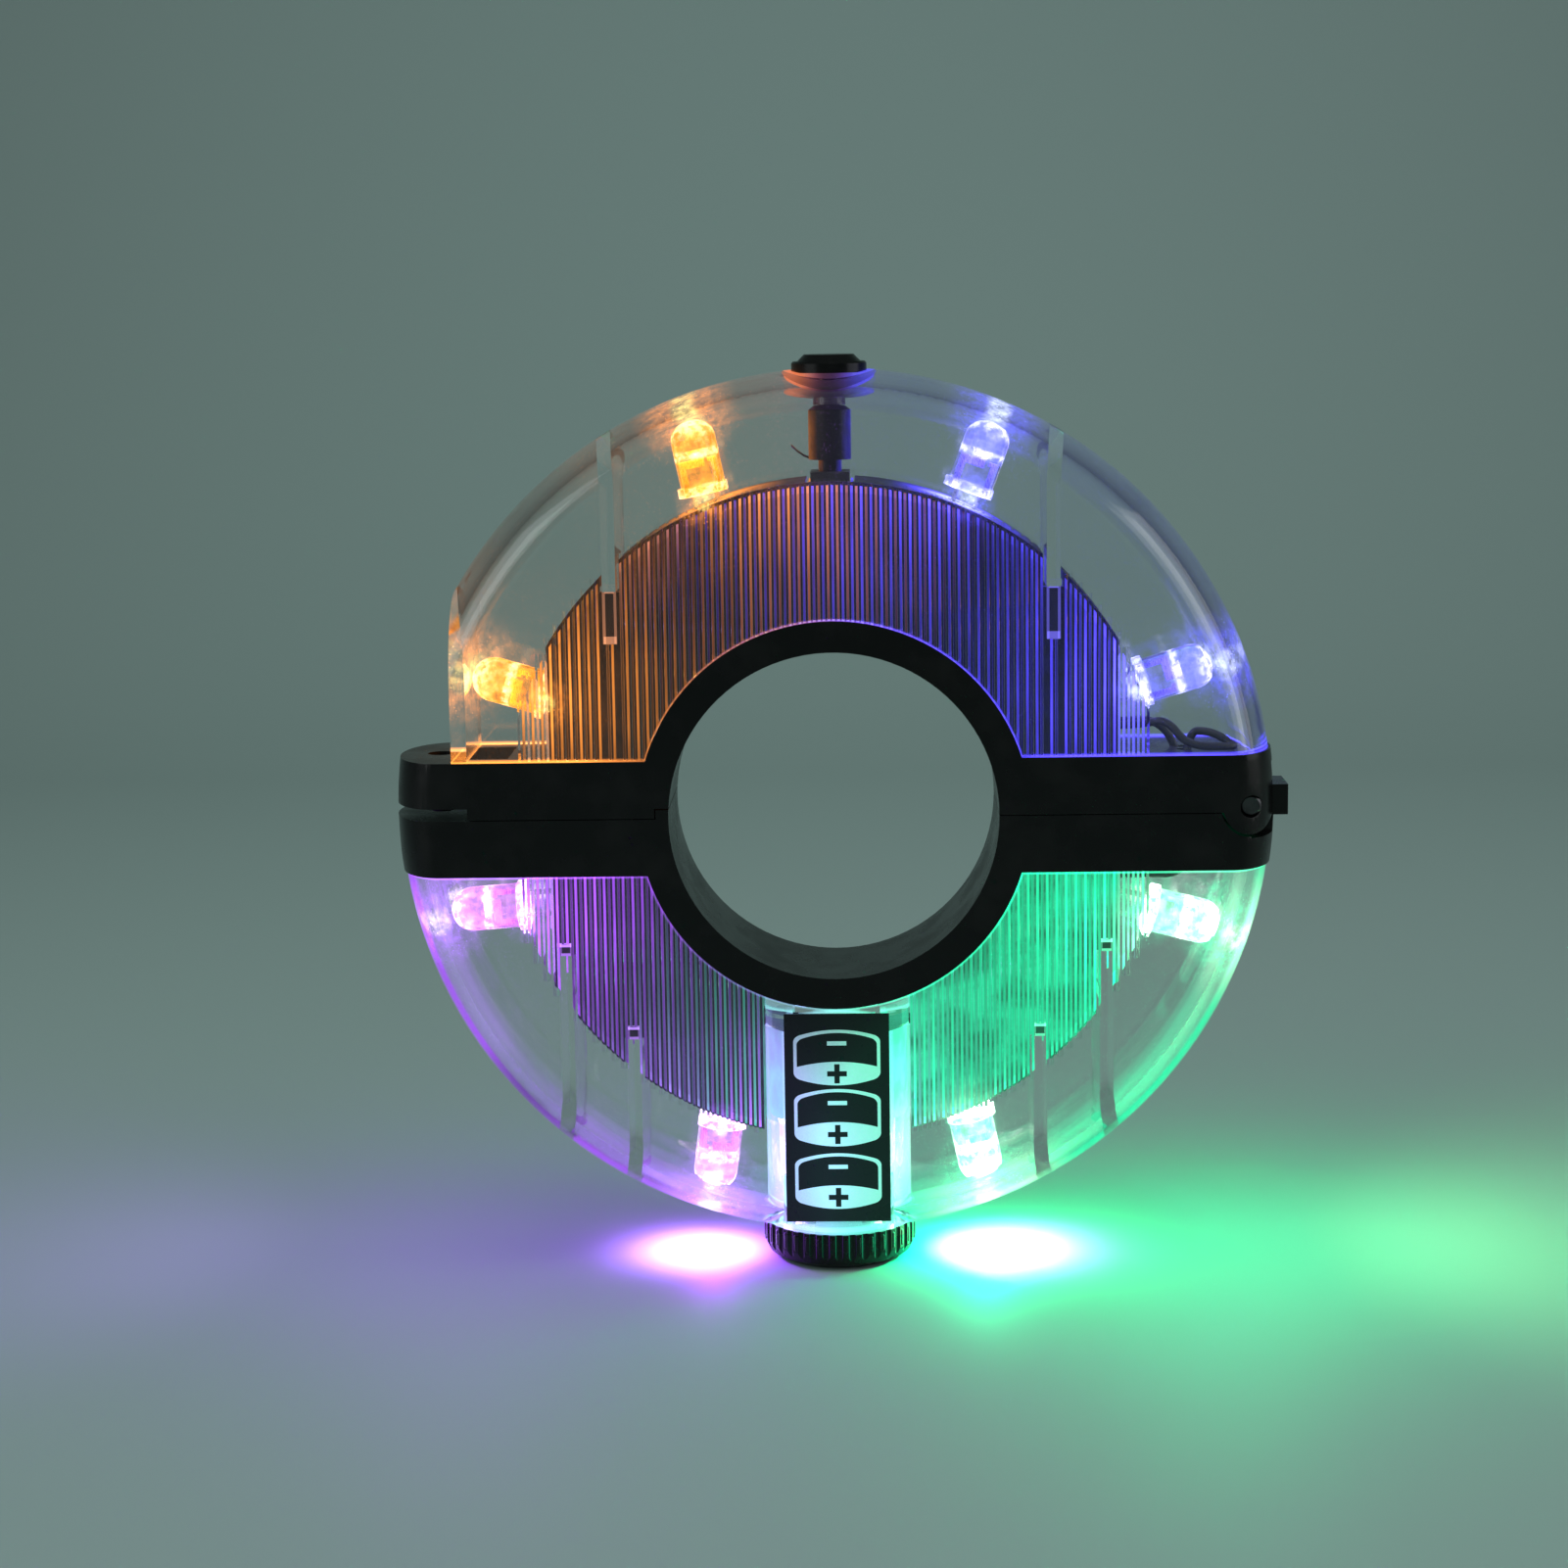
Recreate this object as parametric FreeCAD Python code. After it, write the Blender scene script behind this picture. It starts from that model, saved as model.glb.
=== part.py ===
import FreeCAD, Part

import math
import os

# Wheel hub light: a clear ring in two halves that closes round a hub.
# X runs to the hinge, Y from front to back, Z up. The origin is the centre of the hub bore.
# All sizes are in millimetres.

# Hub bore and collar
bore_radius = 18.2
collar_wall = 3.4

# Ring
ring_depth = 16.4
rim_length = 5.0
cover_wall = 1.6

# Bars of the two black frames
bar_height = 6.4
frame_proud = 0.3
seam_gap = 0.1
seat_gap = 0.05

# Clamp ears on the left, with the holes for one clamp screw
ear_hole_inset = 4.9
ear_hole_radius = 1.5
ear_pilot_radius = 1.25
ear_pilot_depth = 5.0
ear_slot_length = 8.7
ear_slot_height = 1.3

# Lip that lines up the two halves at the bore
lip_width = 1.4
lip_height = 1.0
lip_gap = 0.15

# Hinge on the right
hinge_inset = 3.3
hinge_rise = 0.6
knuckle_radius = 3.1
knuckle_half_width = 3.0
knuckle_gap = 0.1
hinge_clearance = 0.25
pin_radius = 1.2
pin_running_gap = 0.05
pin_held_gap = 0.01
pin_recess = 1.1
tab_reach = 4.6
tab_half_height = 1.7

# Pocket in the top of the left bar and holes for the wires near the hinge
pocket_length = 4.6
pocket_width = 9.0
pocket_depth = 2.6
pocket_inset = 8.4
wire_hole_inset = 7.0
front_wire_y = -2.6
back_wire_y = -0.4
wire_hole_gap = 0.35

# Flat end wall of the upper cover
end_wall_inset = 7.1

# Flutes inside the flat walls of the covers
flute_pitch = 1.054
flute_width = 0.83
flute_floor = 0.23
flute_height = 0.3
flute_overlap = 0.3
flute_side_gap = 1.8

# Partition ribs of the covers: distance from the middle in flutes, then how far below the
# carrier's arc the rib and the low bead that goes on from it stop
rib_wall = 1.5
bead_height = 0.5
rib_notch_gap = 0.35
upper_rib_flutes = 23
upper_rib_drop = 2.56
upper_bead_drop = 8.26
inner_rib_flutes = 21.5
inner_rib_drop = 3.67
inner_bead_drop = 5.17
outer_rib_flutes = 28.5
outer_rib_drop = 5.48
outer_bead_drop = 6.88

# Black carriers behind the flutes
carrier_side_inset = 5.3
carrier_wall = 0.8
carrier_plate = 1.0
carrier_depth_gap = 0.7
switch_opening = 5.4
peg_radius = 1.5
peg_share = 0.3
stake_radius = 0.7
stake_gap = 0.1

# Circuit boards
board_inner_gap = 0.6
board_outer_gap = 2.9
board_front = 3.0
board_thickness = 1.2
board_side_gap = 0.4
board_tab_width = 8.0
board_tab_gap = 0.4
chip_length = 5.0
chip_height = 4.0
chip_thickness = 1.4
chip_drop = 1.1
resistor_length = 2.2
resistor_width = 1.3
resistor_thickness = 0.6
resistor_drop = 1.2

# Light emitting diodes
lens_radius = 2.5
lens_length = 8.7
tip_gap = 1.8
flange_radius = 2.9
flange_thickness = 1.0
flange_flat = 2.6
flange_gap = 0.1
lead_size = 0.5
lead_spacing = 2.54
lead_run = 6.0
anvil_height = 3.0
anvil_thickness = 0.9
cup_foot_radius = 0.45
cup_mouth_radius = 0.8
cup_height = 1.0
lead_slot_gap = 0.35

# Push button and switch
button_radius = 4.15
button_thickness = 1.2
crown_radius = 2.75
crown_height = 0.75
button_travel = 0.7
shaft_radius = 1.25
shaft_gap = 0.08
shaft_length = 7.2
cup_rim_drop = 0.5
cup_radius = 4.95
cup_side_wall = 0.5
cup_side_height = 1.0
cup_floor_drop = 2.5
cup_inner_floor_drop = 1.9
boss_radius = 1.8
boss_length = 0.8
sleeve_radius = 2.35
sleeve_length = 6.1
sleeve_chamfer = 0.6
sleeve_gap = 0.1
stem_radius = 1.28
stem_length = 4.3
stem_grip = 1.6
bore_slack = 0.03
switch_width = 4.3
switch_front = -2.4
switch_height = 5.0
switch_top_rise = 0.8
switch_well_radius = 1.4

# Battery tube
tube_bore_radius = 6.3
tube_end_inset = 1.3
tube_flare = 0.5
tube_flare_length = 1.5
tube_top_wall = 3.4
wire_space_radius = 4.5
wire_space_height = 2.0
window_width = 2.6

# Three button cells
cell_radius = 5.8
cell_height = 5.4
cell_count = 3
cell_can_height = 5.0
cell_recess_radius = 5.2
cell_recess_depth = 1.0
cell_lid_radius = 4.7
cell_gasket_gap = 0.03
cell_gasket_rise = 0.1

# Contacts and spring
contact_radius = 5.6
cap_contact_radius = 6.15
contact_thickness = 0.3
strip_half_width = 1.25
strip_thickness = 0.25
strip_side_gap = 0.25
strip_cell_gap = 0.15
strip_tab_length = 2.6
spring_wire = 0.5
spring_radius = 3.0
spring_turns = 2.5
spring_height = 3.1

# Screw cap
cap_overhang = 0.45
cap_gap = 0.1
cap_band = 2.5
cap_dome = 1.8
cap_foot_radius = 6.9
cap_side_gap = 0.3
knurl_count = 36
knurl_radius = 0.45
knurl_depth = 0.3
spigot_radius = 5.8
spigot_length = 2.7
thread_radius = 0.4
thread_depth = 0.1
thread_lead_in = 0.6
thread_pitch = 1.0
thread_turns = 1.5

# Label on the front of the battery tube
label_width = 11.7
label_thickness = 0.15
label_top = 22.1
label_bottom = 46.0
label_seat_margin = 0.3

# Insulated wires
wire_radius = 0.45
wire_share = 0.45

# Values that follow from the sizes above
half_depth = ring_depth / 2
tube_radius = half_depth
cap_radius = tube_radius + cap_overhang
collar_radius = bore_radius + collar_wall
stack_height = cell_count * cell_height
battery_top = collar_radius + tube_top_wall
cells_top = battery_top + contact_thickness + spring_height
cells_bottom = cells_top + stack_height
spigot_end = cells_bottom + contact_thickness
cap_top = spigot_end + spigot_length
cap_bottom = cap_top + cap_band + cap_dome
tube_end = cap_top - cap_gap
ring_radius = tube_end + tube_end_inset
frame_radius = ring_radius + frame_proud
cavity_half = half_depth - cover_wall
cavity_radius = ring_radius - cover_wall
carrier_half = cavity_half - carrier_depth_gap
ear_hole_x = ear_hole_inset - frame_radius
ear_slot_x = ear_slot_length - frame_radius
end_wall_x = end_wall_inset - frame_radius
hinge_x = frame_radius - hinge_inset
wire_hole_x = hinge_x - wire_hole_inset
tab_sweep = math.hypot(tab_reach, tab_half_height) + hinge_clearance
collar_seat = collar_radius + seat_gap
tube_seat = tube_radius + seat_gap
carrier_radius = cavity_radius - lens_length - tip_gap
carrier_reach = carrier_radius - carrier_side_inset
flute_radius = carrier_radius + flute_overlap
flute_reach = flute_radius - flute_side_gap
board_back = board_front + board_thickness
board_radius = carrier_radius - carrier_wall - board_outer_gap
board_reach = carrier_reach - carrier_wall - board_side_gap
board_middle = (collar_radius + board_inner_gap + board_radius) / 2
cup_rim = ring_radius - cup_rim_drop
cup_floor = cup_rim - cup_floor_drop
cup_inner_floor = cup_rim - cup_inner_floor_drop
boss_end = cup_floor - boss_length
sleeve_top = boss_end - sleeve_gap
sleeve_bottom = sleeve_top - sleeve_length
switch_top = carrier_radius + switch_top_rise
stem_top = sleeve_bottom + stem_grip
stem_bottom = stem_top - stem_length
strip_front = cell_radius + strip_cell_gap
strip_back = strip_front + strip_thickness
strip_top = battery_top - wire_space_height / 2



def under_arc(x, drop):
    """Height at a distance from the middle, so far below the arc of the carriers."""
    return math.sqrt(carrier_radius * carrier_radius - x * x) - drop


def on_arc(angle, lift, tilt):
    """Foot and direction of a diode on the carrier's arc, angles from +X towards +Z."""
    turn = math.radians(angle)
    radius = carrier_radius + lift
    return radius * math.cos(turn), radius * math.sin(turn), angle + tilt


def beside_bar(side, lift, height, direction):
    """Foot and direction of a diode beyond the carrier's side wall, side is -1 for the left."""
    level = bar_height + abs(height)
    return side * (carrier_reach + lift), math.copysign(level, height), direction


upper_rib_x = upper_rib_flutes * flute_pitch
upper_rib_end = under_arc(upper_rib_x, upper_rib_drop)
upper_bead_end = under_arc(upper_rib_x, upper_bead_drop)
inner_rib_x = inner_rib_flutes * flute_pitch
inner_rib_end = under_arc(inner_rib_x, inner_rib_drop)
inner_bead_end = under_arc(inner_rib_x, inner_bead_drop)
outer_rib_x = outer_rib_flutes * flute_pitch
outer_rib_end = under_arc(outer_rib_x, outer_rib_drop)
outer_bead_end = under_arc(outer_rib_x, outer_bead_drop)

amber_places = [on_arc(111.5, 1.15, -9.9), beside_bar(-1, 0.5, 6.6, 163.6)]
blue_places = [on_arc(66.5, 1.45, 3.1), beside_bar(1, 2.6, 7.1, 16.5)]
magenta_places = [beside_bar(-1, 3.4, -4.5, 184.5), on_arc(249.6, 1.45, 12.8)]
green_places = [on_arc(292.9, 1.4, -11.2), beside_bar(1, 3.5, -5.6, 345.6)]


def vec(x, y, z):
    return FreeCAD.Vector(x, y, z)


def block(x_span, y_span, z_span):
    """Box between two limits along each axis."""
    size_x = x_span[1] - x_span[0]
    size_y = y_span[1] - y_span[0]
    size_z = z_span[1] - z_span[0]
    return Part.makeBox(size_x, size_y, size_z, vec(x_span[0], y_span[0], z_span[0]))


def across(radius, y_span, x=0.0, z=0.0):
    """Cylinder that runs from front to back."""
    return Part.makeCylinder(radius, y_span[1] - y_span[0], vec(x, y_span[0], z), vec(0, 1, 0))


def upright(radius, z_span, x=0.0, y=0.0):
    """Cylinder that stands along Z."""
    return Part.makeCylinder(radius, z_span[1] - z_span[0], vec(x, y, z_span[0]), vec(0, 0, 1))


def turned(points):
    """Solid turned about Z from a closed outline of (radius, height) points."""
    corners = [vec(radius, 0, height) for radius, height in points]
    corners.append(corners[0])
    face = Part.Face(Part.makePolygon(corners))
    return face.revolve(vec(0, 0, 0), vec(0, 0, 1), 360)


def flipped(shape):
    """The same shape below the seam instead of above it."""
    return shape.mirror(vec(0, 0, 0), vec(0, 0, 1))


def only_solid(shape):
    """The single solid of a result, so that every node holds plain solids."""
    if len(shape.Solids) != 1:
        raise ValueError("expected one solid, found " + str(len(shape.Solids)))
    return shape.Solids[0]


def one_solid(shape):
    """The single solid of a result, with faces joined that lie on one surface."""
    return only_solid(shape.removeSplitter())


def ring_body(outer_radius, half, rim, inner_radius):
    """Ring with flat faces and an elliptical rim, turned about the bore's axis."""
    flat_end = outer_radius - rim
    oval = Part.Ellipse(vec(flat_end, half, 0), vec(outer_radius, 0, 0), vec(flat_end, 0, 0))
    rim_edge = Part.ArcOfEllipse(oval, 0, math.pi).toShape()
    front_edge = Part.makeLine(vec(flat_end, -half, 0), vec(inner_radius, -half, 0))
    inner_edge = Part.makeLine(vec(inner_radius, -half, 0), vec(inner_radius, half, 0))
    back_edge = Part.makeLine(vec(inner_radius, half, 0), vec(flat_end, half, 0))
    face = Part.Face(Part.Wire([rim_edge, front_edge, inner_edge, back_edge]))
    return face.revolve(vec(0, 0, 0), vec(0, 1, 0), 360)


def tube_along(points, radius):
    """Round wire along straight runs, joined by arcs as large as the runs allow."""
    edges = []
    bends = []
    start = points[0]
    for before, corner, after in zip(points, points[1:], points[2:]):
        way_in = (corner - before).normalize()
        way_out = (after - corner).normalize()
        half_turn = way_in.getAngle(way_out) / 2
        reach = wire_share * min((corner - before).Length, (after - corner).Length)
        arc_radius = reach / math.tan(half_turn)
        arc_start = corner - way_in * reach
        arc_end = corner + way_out * reach
        inward = (way_out - way_in).normalize()
        middle = corner + inward * (arc_radius / math.cos(half_turn) - arc_radius)
        edges.append(Part.LineSegment(start, arc_start).toShape())
        edges.append(Part.Arc(arc_start, middle, arc_end).toShape())
        bends.append(round(arc_radius, 2))
        start = arc_end
    edges.append(Part.LineSegment(start, points[-1]).toShape())
    path = Part.Wire(edges)
    section = Part.Wire(Part.makeCircle(radius, points[0], points[1] - points[0]))
    tube = one_solid(path.makePipeShell([section], True, False))
    share = tube.Volume / (math.pi * radius * radius * path.Length)
    print("wire length", round(path.Length, 1), "volume share", round(share, 4), "bend radii", bends)
    return tube


def arc_between(start, control, end):
    """Arc from start to end, whose end tangents meet in the control point."""
    chord = end - start
    half_angle = chord.getAngle(control - start)
    radius = chord.Length / (2 * math.sin(half_angle))
    middle = (start + end) * 0.5
    rise = radius * (1 - math.cos(half_angle))
    top = middle + (control - middle).normalize() * rise
    return Part.Arc(start, top, end).toShape()


def helix_point(radius, pitch, turns, start_z):
    """Point and unit tangent of an upward helix after a number of turns."""
    angle = 2 * math.pi * turns
    point = vec(radius * math.cos(angle), radius * math.sin(angle), start_z + pitch * turns)
    climb = pitch / (2 * math.pi)
    tangent = vec(-radius * math.sin(angle), radius * math.cos(angle), climb).normalize()
    return point, tangent


def helix_tube(radius, pitch, turns, start_z, wire):
    """One unbroken coil of round wire, on two arcs for each quarter turn."""
    edges = []
    quarter_count = round(turns * 4)
    for quarter in range(quarter_count):
        start, way_in = helix_point(radius, pitch, quarter / 4, start_z)
        end, way_out = helix_point(radius, pitch, (quarter + 1) / 4, start_z)
        span = end - start
        sum_way = way_in + way_out
        spread = 2 * (1 - way_in.dot(way_out))
        along = span.dot(sum_way)
        reach = (math.sqrt(along * along + spread * span.dot(span)) - along) / spread
        first = start + way_in * reach
        second = end - way_out * reach
        joint = (first + second) * 0.5
        edges.append(arc_between(start, first, joint))
        edges.append(arc_between(joint, second, end))
    path = Part.Wire(edges)
    start, way = helix_point(radius, pitch, 0, start_z)
    section = Part.Wire(Part.makeCircle(wire, start, way))
    return path.makePipeShell([section], True, False)


def helix_gap(radius, pitch, turns, wire):
    """Least gap of a coil to itself, measured on points along its line."""
    steps = 48
    count = int(turns * steps)
    points = [helix_point(radius, pitch, step / steps, 0)[0] for step in range(count + 1)]
    least = pitch
    for low in range(len(points)):
        for high in range(low + steps // 2, len(points)):
            least = min(least, (points[high] - points[low]).Length)
    return least - 2 * wire


def full_depth():
    return (-half_depth, half_depth)


def half_frame():
    """Half collar with a straight bar to each side, above the seam."""
    ring = ring_body(frame_radius, half_depth, rim_length, bore_radius)
    collar = across(collar_radius, full_depth())
    bars = block((-frame_radius, frame_radius), full_depth(), (-bar_height, bar_height))
    wanted = block((-frame_radius, frame_radius), full_depth(), (seam_gap / 2, frame_radius))
    return ring.common(collar.fuse(bars)).common(wanted)


def hinge_rod(radius, y_span):
    """Cylinder about the hinge axis."""
    return across(radius, y_span, hinge_x, hinge_rise)


def side_spans(inner):
    """The two stretches of depth in front of and behind the middle knuckle."""
    return [(-half_depth, -inner), (inner, half_depth)]


def wire_holes(z_span):
    """Holes in a bar for the two wires that pass the hinge."""
    radius = wire_radius + wire_hole_gap
    return [upright(radius, z_span, wire_hole_x, y) for y in (front_wire_y, back_wire_y)]


def lip_block(extra):
    """Locating lip on the left edge of the bore, grown by a gap for its notch."""
    height = lip_height + extra
    outer = -bore_radius - lip_width - extra
    bar = block((outer, 0), full_depth(), (-seam_gap, height))
    return bar.cut(across(bore_radius, full_depth()))


def upper_frame():
    body = half_frame()
    ring = ring_body(frame_radius, half_depth, rim_length, bore_radius)
    for span in side_spans(knuckle_half_width + knuckle_gap):
        body = body.fuse(hinge_rod(knuckle_radius, span).common(ring))
    middle = knuckle_half_width + knuckle_gap
    over = bar_height + 1
    cuts = [hinge_rod(tab_sweep, (-middle, middle))]
    cuts.append(hinge_rod(pin_radius + pin_running_gap, full_depth()))
    cuts.append(block((-frame_radius, ear_slot_x), full_depth(), (0, ear_slot_height)))
    cuts.append(upright(ear_hole_radius, (0, over), ear_hole_x))
    cuts.append(lip_block(lip_gap))
    pocket_start = pocket_inset - frame_radius
    pocket_side = pocket_width / 2
    pocket_x = (pocket_start, pocket_start + pocket_length)
    cuts.append(block(pocket_x, (-pocket_side, pocket_side), (bar_height - pocket_depth, over)))
    cuts += wire_holes((0, over))
    return one_solid(body.cut(cuts))


def lower_frame():
    body = flipped(half_frame())
    recess_floor = hinge_rise - hinge_inset - hinge_clearance
    for span in side_spans(knuckle_half_width):
        body = body.cut(hinge_rod(knuckle_radius + hinge_clearance, span))
        outside = (hinge_x, frame_radius + 1)
        body = body.cut(block(outside, span, (recess_floor, bar_height)))
    middle = (-knuckle_half_width, knuckle_half_width)
    tab_z = (hinge_rise - tab_half_height, hinge_rise + tab_half_height)
    tab = block((hinge_x, hinge_x + tab_reach), middle, tab_z)
    body = body.fuse(hinge_rod(knuckle_radius, middle))
    body = body.fuse(tab)
    body = body.fuse(lip_block(0))
    cuts = [hinge_rod(pin_radius + pin_held_gap, full_depth())]
    cuts.append(upright(ear_pilot_radius, (-seam_gap / 2 - ear_pilot_depth, 1), ear_hole_x))
    cuts += wire_holes((-bar_height - 1, 0))
    return one_solid(body.cut(cuts))


def hinge_pin():
    reach = half_depth - pin_recess
    pin = hinge_rod(pin_radius, (-reach, reach))
    edge = pin_radius * 0.2
    rims = [edge_item for edge_item in pin.Edges if edge_item.Curve.TypeId == "Part::GeomCircle"]
    return pin.makeChamfer(edge, rims)


def flute_tops(ribs):
    """Place of each flute and the height at which it ends, with a short one under each rib."""
    count = int(flute_reach / flute_pitch) + 1
    for index in range(-count, count):
        x = (index + 0.5) * flute_pitch
        beside = min(abs(x - rib_x) for rib_x, rib_end, bead_end in ribs)
        if abs(x) < flute_reach and beside > 0.9 * flute_pitch:
            yield x, math.sqrt(flute_radius * flute_radius - x * x)
    for rib_x, rib_end, bead_end in ribs:
        yield rib_x, bead_end


def flute_cuts(ribs, skip_half_width):
    """Vertical grooves inside the front and back walls, seen through the clear plastic."""
    grooves = []
    face = cavity_half
    mouth = flute_width / 2
    floor = flute_floor / 2
    for x, top in flute_tops(ribs):
        if abs(x) < skip_half_width + mouth:
            continue
        for side in (-1, 1):
            deep = side * (face + flute_height)
            corners = [
                vec(x - mouth, side * face, 0), vec(x + mouth, side * face, 0),
                vec(x + floor, deep, 0), vec(x - floor, deep, 0), vec(x - mouth, side * face, 0),
            ]
            groove = Part.Face(Part.makePolygon(corners))
            grooves.append(groove.extrude(vec(0, 0, top)))
    return grooves


def cover_shell(left_limit):
    """Hollow half ring, open towards the bars and the collar."""
    far = 2 * ring_radius
    outer = ring_body(ring_radius, half_depth, rim_length, collar_seat)
    outer = outer.common(block((left_limit, far), full_depth(), (bar_height, far)))
    cavity = ring_body(cavity_radius, cavity_half, rim_length - cover_wall, bore_radius)
    inside_x = (left_limit + cover_wall, far)
    cavity = cavity.common(block(inside_x, full_depth(), (bar_height - 1, far)))
    return outer.cut(cavity)


def add_ribs(shell, ribs):
    """Partition ribs from the rim inwards, each with a bead further in on both flat walls."""
    ring = ring_body(ring_radius, half_depth, rim_length, bore_radius)
    bead_top = cavity_half - bead_height
    for x, rib_end, bead_end in ribs:
        span = (x - rib_wall / 2, x + rib_wall / 2)
        plate = block(span, full_depth(), (rib_end, ring_radius))
        shell = shell.fuse(plate.common(ring))
        for depth in ((-half_depth, -bead_top), (bead_top, half_depth)):
            shell = shell.fuse(block(span, depth, (bead_end, rib_end)))
    return shell


def upper_ribs():
    """Place, inner end and end of the bead of each rib of the upper cover."""
    return [(side * upper_rib_x, upper_rib_end, upper_bead_end) for side in (-1, 1)]


def upper_cover():
    shell = cover_shell(end_wall_x)
    shell = add_ribs(shell, upper_ribs())
    cup_side = cup_radius - cup_side_wall
    side_foot = cup_rim - cup_side_height
    cup = turned([
        (0, boss_end), (boss_radius, boss_end), (boss_radius, cup_floor),
        (cup_radius, side_foot), (cup_radius, cup_rim), (0, cup_rim),
    ])
    bowl = turned([
        (0, cup_inner_floor), (boss_radius, cup_inner_floor), (cup_side, side_foot + 0.2),
        (cup_side, ring_radius + 2), (0, ring_radius + 2),
    ])
    shell = shell.fuse(cup).cut(bowl)
    shell = shell.cut(upright(shaft_radius + shaft_gap, (boss_end - 1, ring_radius)))
    grooves = flute_cuts(upper_ribs(), 0)
    return one_solid(shell.cut(grooves))


def lower_ribs():
    """Place, inner end and end of the bead of each rib of the lower cover."""
    ribs = []
    for side in (-1, 1):
        ribs.append((side * inner_rib_x, inner_rib_end, inner_bead_end))
        ribs.append((side * outer_rib_x, outer_rib_end, outer_bead_end))
    return ribs


def battery_tube(shell):
    """Adds the battery tube to a cover that is built above the seam."""
    collar = across(collar_seat, full_depth())
    tube = upright(tube_radius, (bar_height, tube_end))
    flare_foot = tube_end - tube_flare_length
    flare = turned([
        (0, flare_foot), (tube_radius, flare_foot),
        (tube_radius + tube_flare, tube_end), (0, tube_end),
    ])
    seat_side = label_width / 2 + label_seat_margin
    seat_z = (label_bottom - rim_length, label_bottom + label_seat_margin)
    seat = block((-seat_side, seat_side), (-half_depth, 0), seat_z)
    shell = shell.fuse(tube.cut(collar)).fuse(flare).fuse(seat)
    wide = tube_radius + 1
    wire_top = battery_top - wire_space_height
    side = window_width / 2
    strip_side = strip_half_width + strip_side_gap
    slot_back = strip_back + strip_side_gap
    tab_front = strip_back - strip_tab_length - strip_side_gap
    cuts = [upright(tube_bore_radius, (battery_top, ring_radius + 1))]
    cuts.append(upright(wire_space_radius, (wire_top, battery_top)))
    cuts.append(block((-wide, wide), (-side, side), (wire_top, battery_top)))
    cuts.append(block((-strip_side, strip_side), (0, slot_back), (battery_top, cells_bottom)))
    cuts.append(block((-strip_side, strip_side), (tab_front, slot_back), (wire_top, battery_top)))
    cuts.append(upright(cap_radius + cap_side_gap, (tube_end, 2 * ring_radius)))
    return shell.cut(cuts)


def lower_cover():
    shell = cover_shell(-2 * ring_radius)
    shell = add_ribs(shell, lower_ribs())
    grooves = flute_cuts(lower_ribs(), tube_radius)
    shell = shell.cut(grooves)
    return flipped(one_solid(battery_tube(shell)))


def diode_place(place):
    """Turns a diode that is built along +Z to where it sits."""
    x, z, direction = place
    turn = FreeCAD.Rotation(vec(0, 1, 0), 90 - direction)
    return FreeCAD.Placement(vec(x, 0, z), turn)


def placed(shape, place):
    moved = shape.copy()
    moved.Placement = diode_place(place)
    return moved


def diode_seats(places):
    """Openings for the legs of the diodes, with a round seat for each flange."""
    side = lead_spacing / 2 + lead_size / 2 + lead_slot_gap
    half = lead_size / 2 + lead_slot_gap
    slot = block((-side, side), (-half, half), (-lead_run, 0))
    seat = slot.fuse(upright(flange_radius + flange_gap, (0, lens_length)))
    return [placed(seat, place) for place in places]


def peg_places(x_low, x_high):
    """Two pegs for a board, on a ring halfway between its edges."""
    places = []
    for share in (peg_share, 1 - peg_share):
        x = x_low + share * (x_high - x_low)
        z = math.sqrt(board_middle * board_middle - x * x)
        places.append((x, z))
    return places


def carrier(x_low, x_high, ribs, places):
    """Black plate behind the flutes, with a wall round it that the diodes stand on."""
    depth = (-carrier_half, carrier_half)
    plate_depth = (-carrier_half, -carrier_half + carrier_plate)
    disc = across(carrier_radius, depth)
    window = block((x_low, x_high), depth, (bar_height, carrier_radius))
    outer = disc.common(window)
    hollow_x = (x_low + carrier_wall, x_high - carrier_wall)
    hollow_disc = across(carrier_radius - carrier_wall, depth)
    hollow = hollow_disc.common(block(hollow_x, depth, (bar_height - 1, carrier_radius)))
    plate = outer.common(block((x_low, x_high), plate_depth, (bar_height, carrier_radius)))
    body = outer.cut(hollow).fuse(plate).cut(across(collar_seat, depth))
    for x, z in peg_places(x_low, x_high):
        peg = across(peg_radius, (-carrier_half, board_front), x, z)
        stake = across(stake_radius, (-carrier_half, board_back + stake_radius), x, z)
        body = body.fuse(peg).fuse(stake)
    cuts = diode_seats(places)
    for x, rib_end, bead_end in ribs:
        side = rib_wall / 2 + rib_notch_gap
        cuts.append(block((x - side, x + side), depth, (rib_end - seat_gap, carrier_radius + 1)))
    return body.cut(cuts)


def wire_gaps(z):
    """Holes for the two wires through the right side wall of a carrier."""
    radius = wire_radius + wire_hole_gap
    start = carrier_reach - 2 * carrier_wall
    length = 3 * carrier_wall
    sideways = vec(1, 0, 0)
    holes = []
    for y in (front_wire_y, back_wire_y):
        holes.append(Part.makeCylinder(radius, length, vec(start, y, z), sideways))
    return holes


def upper_carrier():
    body = carrier(-carrier_reach, carrier_reach, upper_ribs(), amber_places + blue_places)
    side = switch_opening / 2
    behind_plate = (-carrier_half + carrier_plate, carrier_half)
    wall_z = (carrier_radius - 2 * carrier_wall, carrier_radius + 1)
    body = body.cut(block((-side, side), behind_plate, wall_z))
    return one_solid(body.cut(wire_gaps(upper_entry_z)))


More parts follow.
